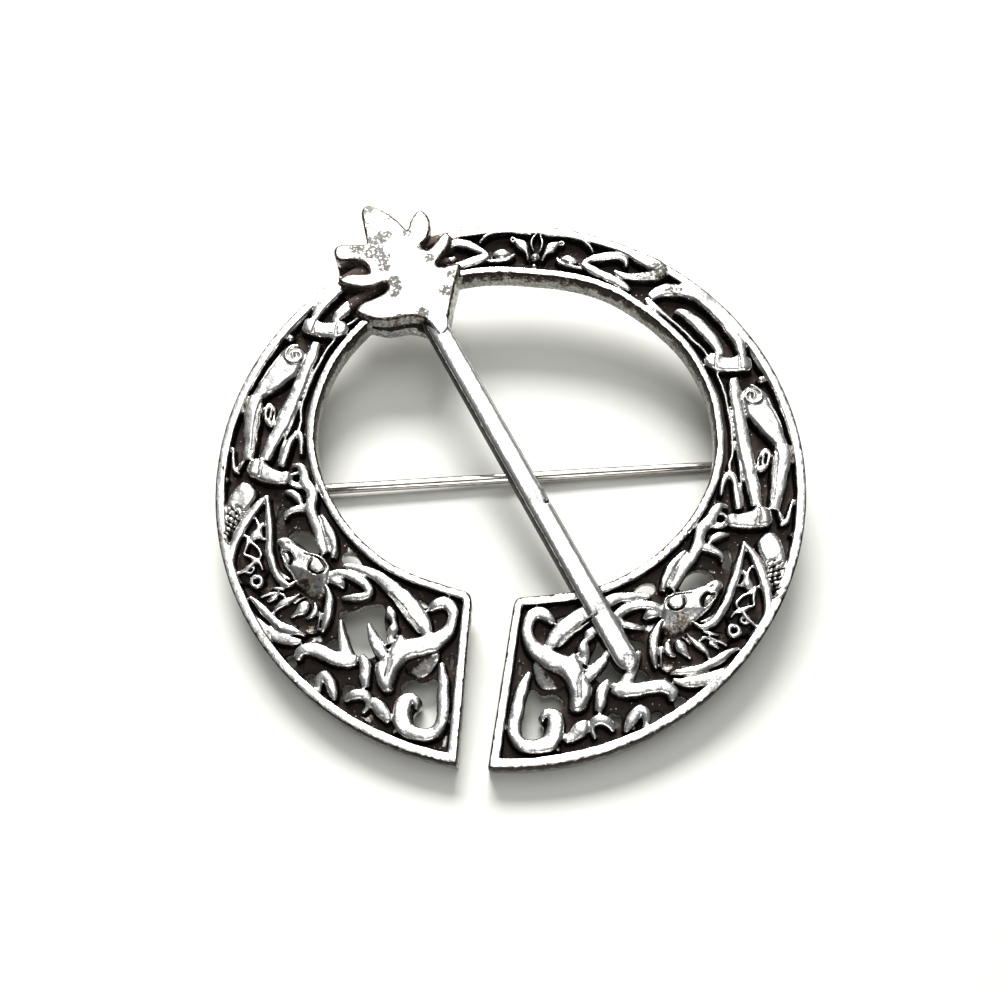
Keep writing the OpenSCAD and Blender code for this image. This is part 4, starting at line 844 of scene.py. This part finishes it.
def carve(points, lines):
    # press grooves into the top of the relief
    z = points[:, 2].copy()
    for rows in lines:
        rows = smoothRows(rows, 4)
        low = rows[:, :2].min(0) - 0.5
        high = rows[:, :2].max(0) + 0.5
        near = np.where(np.all((points[:, :2] > low) & (points[:, :2] < high), axis=1)
                        & (points[:, 2] > ring["floor"]))[0]
        cut = np.zeros(len(near))
        for a, b in zip(rows[:-1], rows[1:]):
            d = (b - a)[:2]
            t = np.clip(((points[near, :2] - a[:2]) @ d) / max(d @ d, 1e-9), 0, 1)
            away = np.hypot(*(points[near, :2] - a[:2] - t[:, None] * d).T)
            half, deep = (a[2:] + t[:, None] * (b - a)[2:]).T
            cut = np.maximum(cut, deep * np.clip(1.2 - (away / half) ** 2, 0, 1))
        z[near] = np.maximum(z[near] - cut, ring["floor"])
    return np.c_[points[:, :2], z]


def blurred(field, weight, radius):
    # three box blurs of a height field that has empty places
    for _ in range(3):
        for axis in (0, 1):
            out = []
            for layer in (field * weight, weight):
                start = np.zeros_like(np.take(layer, [0], axis))
                total = np.cumsum(np.concatenate([start, layer], axis), axis)
                size = layer.shape[axis]
                low = np.clip(np.arange(size) - radius, 0, size)
                high = np.clip(np.arange(size) + radius + 1, 0, size)
                out.append(np.take(total, high, axis) - np.take(total, low, axis))
            field = out[0] / np.maximum(out[1], 1e-9)
            weight = np.minimum(out[1] / (2 * radius + 1), 1)
    return field


def wavering(points, seed, size, strength):
    # smooth random push of each point, for the uneven edges of a cast
    chance = np.random.default_rng(seed)
    cell = size / 4
    low = points.min(0) - 2 * size
    shape = (np.ceil((points.max(0) + 2 * size - low) / cell)).astype(int)[:2]
    at = (points[:, :2] - low[:2]) / cell
    pushed = points.copy()
    for axis in range(3):
        field = blurred(chance.standard_normal(shape), np.ones(shape), 2)
        field /= field.std()
        pushed[:, axis] += strength[axis] * readGrid(field, at)
    return pushed


def distanceMap(outline):
    # distance from an outline on a grid over the ring; returns a function that reads it
    cell = 0.1
    low = outline.min(0) - 3
    shape = np.ceil((outline.max(0) + 3 - low) / cell).astype(int)
    gx, gy = np.meshgrid(*(low[k] + cell * np.arange(shape[k]) for k in (0, 1)), indexing="ij")
    field = distanceTo(np.c_[gx.ravel(), gy.ravel()], outline).reshape(shape)
    return lambda points: readGrid(field, np.clip((points[:, :2] - low) / cell, 0, shape - 1.001))


fromOutline = distanceMap(ringLines())
fromPetals = distanceMap(crownLine)
shankAim = math.radians(head["angle"])
shankLine = np.array([head["neck"], head["neck"]], float)
shankLine[1] += shank["length"] * np.array([math.sin(shankAim), -math.cos(shankAim)])
aboveRing = 2.25        # higher than this is head or shank


def shapeSurface(points, edges):
    # soften the fused surface, press in the grooves of both halves, then make it waver
    points = relax(points, edges, ring["softness"])
    right = [np.array(groove, float) for groove in grooves]
    points = carve(points, right + [mirrored(groove) for groove in right])
    z = points[:, 2:]
    smooth = distanceTo(points[:, :2], shankLine, False) < 1.4
    smooth |= isInside(points[:, :2], crownLine) & (points[:, 2] > aboveRing)
    loose = np.clip((fromOutline(points) - 0.5) / 0.6, 0.2, 1)[:, None] * (z > 0.6)
    loose = np.where(smooth[:, None], 0.12 * (z > 1.6), loose)
    for wave in ring["waves"]:
        points = points + loose * (wavering(points, *wave) - points)
    return relax(points, edges, 1)


def thinned(thing, most):
    # plain mesh of the object with no more than so many triangles
    triangles = sum(len(p.vertices) - 2 for p in thing.data.polygons)
    thing.modifiers.new("thin", "DECIMATE").ratio = min(1.0, most / triangles)
    mesh, old = evaluatedMesh(thing), thing.data
    thing.modifiers.clear()
    thing.data = mesh
    bpy.data.meshes.remove(old)
    return mesh


def refineHead(mesh):
    # flat faces of the head and shank get more points, to carry the finish; most near the petals' edges
    for _ in range(3):
        work = bmesh.new()
        work.from_mesh(mesh)
        middles = np.array([tuple((e.verts[0].co + e.verts[1].co) / 2) for e in work.edges])
        limits = np.where(fromPetals(middles) < 0.4, 0.2, 0.45)
        long = [e for e, limit in zip(work.edges, limits)
                if e.calc_length() > limit and min(v.co.z for v in e.verts) > 1.9]
        bmesh.ops.subdivide_edges(work, edges=long, cuts=1)
        bmesh.ops.triangulate(work, faces=work.faces)
        work.to_mesh(mesh)
        work.free()


def depthBelow(points, dense):
    # how far each point lies below what surrounds it; dense holds the fine surface
    cell = 0.1
    low = dense[:, :2].min(0) - 1
    size = (np.ceil((dense[:, :2].max(0) + 1 - low) / cell)).astype(int)
    spot = ((dense[:, :2] - low) / cell).astype(int)
    top = np.full(size, -1.0)
    np.maximum.at(top, (spot[:, 0], spot[:, 1]), dense[:, 2])
    filled = (top > 0.3).astype(float)
    top = np.where(top > 0.3, top, 0.0)
    at = tuple(((points[:, :2] - low) / cell).astype(int).T)
    near, wide = (blurred(top, filled, reach)[at] - points[:, 2] for reach in (4, 9))
    return 0.6 * near + 0.4 * wide


def patchShare(points, rows):
    total = np.zeros(len(points))
    for x, y, radius, amount in rows:
        away = np.hypot(points[:, 0] - x, points[:, 1] - y) / radius
        total = np.maximum(total, amount * np.clip(1.5 * (1 - away ** 2), 0, 1))
    return total


# Black and film over the casting: patina in the hollows, plus painted shade on steep flanks, along the
# outlines, round the petals and on the head's plate; on the walls a black share that rises towards the top.
# Depths and widths in millimetres, the others are shares
patinaAndShadeLevels = {
    "blackFrom": 0.02, "blackSpan": 0.28,                   # depth where black begins, and where it is full
    # steep: flanks darker by their slope, painted shade partly patina; plate: the head's plate near black,
    # patina plus painted shade
    "steep": 0.6, "head": 0.12, "plate": 0.95,
    "edge": 0.75, "edgeWidth": 0.17, "edgeFade": 0.06,      # along the ring's own outlines: a dark line, patina plus painted shade of the rounded edge
    "petal": 0.62, "petalWidth": 0.27, "petalFade": 0.08,   # round the petals: a dark line, patina plus painted shade of the rounded edge
    "wallFoot": 0.28, "wallTop": 0.12, "wallHeight": 1.9,
    "ringFilmAndShade": 0.8, "reliefFilm": 0.3, "headFilm": 2.6, "petalEdgeFilmAndShade": 2, "wallFilm": 0.6,
}


def patinaAndShadeOf(points, dense, facing):
    # shares of black and of film at each point; facing holds how far it faces up
    z = points[:, 2]
    folded = np.c_[np.abs(points[:, 0]), points[:, 1]]
    edge, petalEdge = fromOutline(points), fromPetals(points)
    steep = np.clip((0.8 - facing) / 0.5, 0, 1)
    aboveFloor = z > ring["floor"] * 0.95
    inPetals = isInside(points[:, :2], crownLine)
    onHead = inPetals & (z > aboveRing)
    onTop = onHead | ((distanceTo(points[:, :2], shankLine, False) < 0.95) & (z > 2.3))
    onPlate = isInside(points[:, :2], plateLine) & ~inPetals & (z > 1.2)
    onWall = (z < ring["floor"] * 0.95) | ((edge < 0.12) & (z < patinaAndShadeLevels["wallHeight"]))
    onWall |= (steep > 0.9) & (petalEdge < 0.4)
    awayFromNeck = np.hypot(points[:, 0] + 7.8, points[:, 1] - 12.9) > 1.3
    # dark line round the petals, also darkening the film there: patina plus painted shade of their rounded
    # edge
    petalEdgePatinaAndShade = np.clip((patinaAndShadeLevels["petalWidth"] - petalEdge) / patinaAndShadeLevels["petalFade"], 0, 1) * (onHead & awayFromNeck)

    black = np.clip((depthBelow(points, dense) - patinaAndShadeLevels["blackFrom"]) / patinaAndShadeLevels["blackSpan"], 0, 1)
    # steep flanks darker by their slope: painted shade, partly patina
    black += patinaAndShadeLevels["steep"] * steep * aboveFloor
    black = np.maximum(black, patchShare(folded, darkPatches))
    # dark line along the outlines: patina plus painted shade of the rounded edge
    edgePatinaAndShade = np.clip((patinaAndShadeLevels["edgeWidth"] - edge) / patinaAndShadeLevels["edgeFade"], 0, 1) * (z > 1.6)
    black = np.maximum(black, patinaAndShadeLevels["edge"] * edgePatinaAndShade)
    black = np.where(onTop, np.maximum(patinaAndShadeLevels["head"], patinaAndShadeLevels["petal"] * petalEdgePatinaAndShade), black)
    # the plate between the petals near black: patina in the recess plus painted shade
    black = np.where(onPlate, patinaAndShadeLevels["plate"], black)
    wallBlack = patinaAndShadeLevels["wallFoot"] + patinaAndShadeLevels["wallTop"] * np.clip(z / patinaAndShadeLevels["wallHeight"], 0, 1)
    black = np.where(onWall, wallBlack, np.clip(black, 0, 1))

    filmAndShade = np.maximum(patinaAndShadeLevels["ringFilmAndShade"] * patchShare(folded, ringFilmAndShade), patinaAndShadeLevels["reliefFilm"] * (edge > 0.75))
    filmAndShade = np.where(onTop, patinaAndShadeLevels["headFilm"] * patchShare(points, headFilm), filmAndShade)
    filmAndShade = np.maximum(filmAndShade, patinaAndShadeLevels["petalEdgeFilmAndShade"] * petalEdgePatinaAndShade)
    return black, np.where(onWall, patinaAndShadeLevels["wallFilm"], filmAndShade)


casting = newObject("brooch_casting_dressed", makeCasting())
dense = shapeSurface(*meshArrays(casting.data))
casting.data.vertices.foreach_set("co", dense.astype(np.float32).ravel())
casting.data.update()
plain = thinned(casting, ring["triangles"])
refineHead(plain)
points, _ = meshArrays(plain)
normals = np.zeros(len(points) * 3, np.float32)
plain.vertices.foreach_get("normal", normals)
for name, share in zip(("patinaAndShade", "filmAndShade"), patinaAndShadeOf(points, dense, normals.reshape(-1, 3)[:, 2])):
    attribute = plain.attributes.new(name, "FLOAT", "POINT")
    attribute.data.foreach_set("value", share.astype(np.float32))
plain.polygons.foreach_set("use_smooth", [True] * len(plain.polygons))
plain.materials.clear()
plain.materials.append(silverFinish)
layDown(plain)
print("casting: done", len(plain.polygons), "triangles")
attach(casting, "brooch")
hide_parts("brooch_casting")


# Findings on the back. Their own frame: x along the pin, z out of the ring's back, millimetres
finding = {
    "sheet": 0.5, "glue": 0.05, "width": 3.0, "hingeLength": 3.0, "catchLength": 4.0,
    "hingeAt": (-20.4, -2.5), "catchAt": (20.4, 5.0), "catchDepth": 1.6, "mouth": 65, "round": 0.07,
}
pin = {
    "wire": 0.95, "wireEnd": 0.78, "neck": 1.6, "plain": 23, "point": 4, "past": 1.8,
    "eye": 1.9, "eyeThick": 0.9, "rivet": 0.7, "run": 0.08, "fit": 0.03, "hold": 0.11,
}
baseZ = finding["glue"] + finding["sheet"]
hingeZ = baseZ + pin["eye"] / 2 + pin["run"] + finding["glue"]
holdR = pin["wireEnd"] / 2 + pin["hold"]
footY = math.sqrt((ring["diameter"] / 2) ** 2 - (ring["gapOuter"] / 2) ** 2)
tilt = math.atan((hingeZ + pin["eye"] / 2) / (footY + finding["hingeAt"][1]))
catchZ = ((footY + finding["catchAt"][1]) * math.tan(tilt)
          - (holdR + finding["sheet"]) * math.cos(math.radians(finding["mouth"])) - 0.24 * finding["sheet"])
span = np.array(finding["catchAt"]) - np.array(finding["hingeAt"])
pinTurn = math.atan2(span[1], span[0])
pinSlope = math.atan2(catchZ - hingeZ, math.hypot(*span))
pinLength = math.hypot(*span) / math.cos(pinSlope)


def findingPlace(at):
    return Matrix.Translation((*at, 0)) @ Matrix.Rotation(pinTurn, 4, "Z")


def tidy(mesh, bevel=0.0):
    work = bmesh.new()
    work.from_mesh(mesh)
    bmesh.ops.remove_doubles(work, verts=work.verts, dist=1e-4)
    bmesh.ops.recalc_face_normals(work, faces=work.faces)
    if bevel:
        sharp = [e for e in work.edges if len(e.link_faces) == 2 and e.calc_face_angle(0) > 0.6]
        bmesh.ops.bevel(work, geom=sharp, offset=bevel, segments=3, profile=0.5, affect="EDGES")
    work.to_mesh(mesh)
    work.free()


def spun(name, rows, sides=64):
    # closed solid of revolution about x; rows of along, radius
    turns = [2 * math.pi * k / sides for k in range(sides)]
    verts = [(along, radius * math.cos(a), radius * math.sin(a)) for along, radius in rows for a in turns]
    faces = []
    for first in range(0, (len(rows) - 1) * sides, sides):
        for k in range(sides):
            after = (k + 1) % sides
            faces.append((first + k, first + after, first + sides + after, first + sides + k))
    if rows[0] != rows[-1]:
        faces += [tuple(range(sides)), tuple((len(rows) - 1) * sides + k for k in range(sides))]
    mesh = bpy.data.meshes.new(name)
    mesh.from_pydata(verts, [], faces)
    tidy(mesh)
    return mesh


def box(name, low, high, bevel):
    base = np.array([(low[0], low[1]), (high[0], low[1]), (high[0], high[1]), (low[0], high[1])])
    mesh = slab(name, base, [], low[2], high[2])
    tidy(mesh, bevel)
    return mesh


def basePlate(length):
    # plain plate that stands on the ring's back
    along, across = length / 2, finding["width"] / 2
    return box("base", (-along, -across, -baseZ), (along, across, -finding["glue"]), finding["round"])


def upright(mesh, along):
    # stand a slab up: its y becomes z, its thickness runs along y or along x
    if along == "Y":
        mesh.transform(Matrix.Rotation(math.pi / 2, 4, "X"))
    else:
        mesh.transform(Matrix(((0, 0, 1, 0), (1, 0, 0, 0), (0, 1, 0, 0), (0, 0, 0, 1))))


def joinUp(name, meshes, place, finish, replaced, body):
    # one piece from its meshes; its own frame stays in an attribute, which the metal's lines follow
    mesh = joinMeshes(name, meshes)
    coords = np.zeros(len(mesh.vertices) * 3, np.float32)
    mesh.vertices.foreach_get("co", coords)
    mesh.attributes.new("own", "FLOAT_VECTOR", "POINT").data.foreach_set("vector", coords)
    mesh.materials.append(finish)
    mesh.transform(place)
    layDown(mesh)
    made = newObject(name, mesh)
    for polygon in mesh.polygons:
        polygon.use_smooth = True
    made.modifiers.new("weighted", "WEIGHTED_NORMAL")
    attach(made, body)
    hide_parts(replaced)


# Both metals share the wear; stretch and patches are in patches to the millimetre
steel = {"bright": (0.52, 0.49, 0.46), "tarnish": (0.20, 0.15, 0.12), "rough": 0.09, "stretch": (0.3, 9, 9)}
plate = {"bright": (0.74, 0.72, 0.69), "tarnish": (0.25, 0.21, 0.18), "rough": 0.3, "stretch": (2, 14, 14)}
drawnMetal = {"patches": 1.3, "lines": 0.3, "most": 0.7, "roughSpan": 0.16, "scratch": 0.00002}


def wornMetal(name, values):
    # metal with lines drawn along x, tarnish in patches and fine scratches
    made, tree, shader = newMaterial(name)
    own = addNode(tree, "ShaderNodeAttribute", attribute_name="own").outputs["Vector"]
    drawn = addNode(tree, "ShaderNodeMapping", {"Vector": own, "Scale": values["stretch"]}).outputs[0]
    lines = noise(tree, drawn, 1.0, 3, 0.6)
    patches = noise(tree, own, drawnMetal["patches"], 4, 0.6)
    patches = mathNode(tree, "ADD", patches, mathNode(tree, "MULTIPLY", lines, drawnMetal["lines"]))
    share = mapRange(tree, patches, 0.62, 0.9, 0, drawnMetal["most"])
    rough = mapRange(tree, lines, 0.3, 0.7, values["rough"], values["rough"] + drawnMetal["roughSpan"])
    tree.links.new(mixColour(tree, share, values["bright"], values["tarnish"]), shader.inputs["Base Color"])
    tree.links.new(rough, shader.inputs["Roughness"])
    shader.inputs["Metallic"].default_value = 1
    tree.links.new(bump(tree, lines, 0.25, drawnMetal["scratch"]), shader.inputs["Normal"])
    return made


steelFinish = wornMetal("pinSteel", steel)
plateFinish = wornMetal("platedFinding", plate)

# Pin: the eye, the neck and the wire to its point
eyeRows = [(s * pin["eyeThick"] / 2, r) for s, r in (
    (-1, 0.56), (-0.9, 0.5), (0.9, 0.5), (1, 0.56), (1, 0.9), (0.94, 0.97), (0.8, 1), (-0.8, 1),
    (-0.94, 0.97), (-1, 0.9), (-1, 0.56))]
hollow = (pin["rivet"] / 2 + pin["run"]) / (pin["eye"] / 2)
eyeRows = [(a, (hollow + (r - 0.5) / 0.5 * (1 - hollow)) * pin["eye"] / 2) for a, r in eyeRows]
eye = spun("eye", eyeRows)
eye.transform(Matrix.Rotation(math.pi / 2, 4, "Z"))
wireEnd = pinLength + pin["past"]
wireRows = [(0.3 * pin["eye"], 0.02), (0.31 * pin["eye"], 0.44 * pin["eyeThick"])]
wireRows += [(pin["neck"] + pin["plain"] * k / 8, pin["wire"] / 2) for k in range(9)]
wireRows += [(wireEnd - pin["point"], pin["wireEnd"] / 2)]
wireRows += [(wireEnd - pin["point"] * (1 - t), pin["wireEnd"] / 2 * (1 - 0.8 * t ** 1.6))
             for t in (0.2, 0.4, 0.6, 0.8, 0.93)]
wireRows += [(wireEnd - 0.02, 0.12 * pin["wireEnd"]), (wireEnd, 0.01)]
hingePlace, catchPlace = findingPlace(finding["hingeAt"]), findingPlace(finding["catchAt"])
pinPlace = hingePlace @ Matrix.Translation((0, 0, -hingeZ)) @ Matrix.Rotation(pinSlope, 4, "Y")
wire = spun("wire", wireRows)
joinUp("pin_stem_dressed", [eye, wire], pinPlace, steelFinish, "pin_stem", "pin")
print("pin made")

# Hinge: base, two ears and the rivet through them
earIn = pin["eyeThick"] / 2 + pin["run"]
parts = [basePlate(finding["hingeLength"])]
earLine = np.vstack([arc((0, -hingeZ), pin["eye"] / 2, 180, 360, 33),
                     [(pin["eye"] / 2, -baseZ + 0.1), (-pin["eye"] / 2, -baseZ + 0.1)]])
earHole = arc((0, -hingeZ), pin["rivet"] / 2 + pin["fit"], 0, 350, 36)
for start in (earIn, -earIn - finding["sheet"]):
    ear = slab("ear", earLine, [earHole], -start - finding["sheet"], -start)
    tidy(ear, 0.6 * finding["round"])
    upright(ear, "Y")
    parts.append(ear)
joinUp("hinge_joint_dressed", parts, hingePlace, plateFinish, "hinge_joint", "brooch")
reach = earIn + finding["sheet"] + pin["fit"]
rivetRows = [(reach + along * pin["rivet"], radius * pin["rivet"]) for along, radius in (
    (0.34, 0.35), (0.26, 0.62), (0.12, 0.82), (0, 0.88), (0, 0.5))]
rivetRows = [(reach + 0.36 * pin["rivet"], 0.02)] + rivetRows
rivetRows += [(-a, b) for a, b in rivetRows[::-1]]
rivet = spun("rivet", rivetRows, 48)
rivet.transform(Matrix.Translation((0, 0, -hingeZ)) @ Matrix.Rotation(math.pi / 2, 4, "Z"))
joinUp("hinge_rivet_dressed", [rivet], hingePlace, plateFinish, "hinge_rivet", "brooch")

# Catch: base, foot and an open hook over the wire
parts = [basePlate(finding["catchLength"])]
lip = 90 - finding["mouth"]
hookLine = np.vstack([arc((0, 0), holdR + finding["sheet"], -lip, 180 + lip, 49),
                      arc((0, 0), holdR, 180 + lip, -lip, 41)])
deep = finding["catchDepth"] / 2
hook = slab("hook", hookLine, [], -deep, deep)
tidy(hook, 0.6 * finding["round"])
wide, low, high = 0.9 * holdR, 0.97 * holdR, catchZ - baseZ + 0.1
foot = slab("foot", np.array([(-wide, low), (wide, low), (wide, high), (-wide, high)]), [],
            -0.98 * deep, 0.98 * deep)
tidy(foot, 0.5 * finding["round"])
for mesh in (hook, foot):
    upright(mesh, "X")
    mesh.transform(Matrix.Translation((0, 0, -catchZ)))
    parts.append(mesh)
joinUp("pin_catch_dressed", parts, catchPlace, plateFinish, "pin_catch", "brooch")
print("hinge and catch made")


# Floor and light
ground = {"side": 1.5, "colour": (0.67, 0.672, 0.625), "rough": 0.6}
light = {
    "window": {"turn": -14, "height": 42, "far": 0.6, "size": 0.38, "depth": 0.22, "power": 6.2},
    "ceiling": {"turn": 4, "height": 78, "far": 0.6, "size": 0.38, "depth": 0.48, "power": 1.25},
    "fill": {"turn": 168, "height": 30, "far": 0.6, "size": 0.3, "depth": 0.3, "power": 1.1},
}
room = {"above": 0.25, "front": 0.04, "tint": (0.94, 0.97, 1.0)}


def makeStage():
    side = ground["side"]
    mesh = bpy.data.meshes.new("floor")
    corners = [(-side, -side, 0), (side, -side, 0), (side, side, 0), (-side, side, 0)]
    mesh.from_pydata(corners, [], [(0, 1, 2, 3)])
    floor = newObject("floor", mesh)
    made, _, shader = newMaterial("paleFloor")
    shader.inputs["Base Color"].default_value = (*ground["colour"], 1)
    shader.inputs["Roughness"].default_value = ground["rough"]
    mesh.materials.append(made)


def makeLights():
    for name, values in light.items():
        lamp = bpy.data.lights.new(name, "AREA")
        lamp.shape = "ELLIPSE"
        lamp.energy = values["power"]
        lamp.size = values["size"]
        lamp.size_y = values["depth"]
        turn, height = math.radians(values["turn"]), math.radians(values["height"])
        place = values["far"] * Vector((math.sin(turn) * math.cos(height), math.cos(turn) * math.cos(height),
                                        math.sin(height)))
        aim = (-place).to_track_quat("-Z", "Y").to_matrix().to_4x4()
        newObject(name, lamp).matrix_world = Matrix.Translation(place) @ aim
    # room: bright above and behind, dark towards the front
    world = bpy.data.worlds.new("room")
    bpy.context.scene.world = world
    world.use_nodes = True
    tree = world.node_tree
    glow = tree.nodes["Background"]
    glow.inputs[0].default_value = (*room["tint"], 1)
    around = addNode(tree, "ShaderNodeTexCoord").outputs["Generated"]
    direction = addNode(tree, "ShaderNodeSeparateXYZ", {0: around}).outputs
    lean = mathNode(tree, "ADD", mathNode(tree, "MULTIPLY", direction[2], 0.9),
                    mathNode(tree, "MULTIPLY", direction[1], 0.45))
    tree.links.new(mapRange(tree, lean, 0.0, 0.9, room["front"], room["above"]), glow.inputs[1])
    bpy.context.scene.view_settings.view_transform = "Standard"


makeStage()
makeLights()
print("stage and light made")
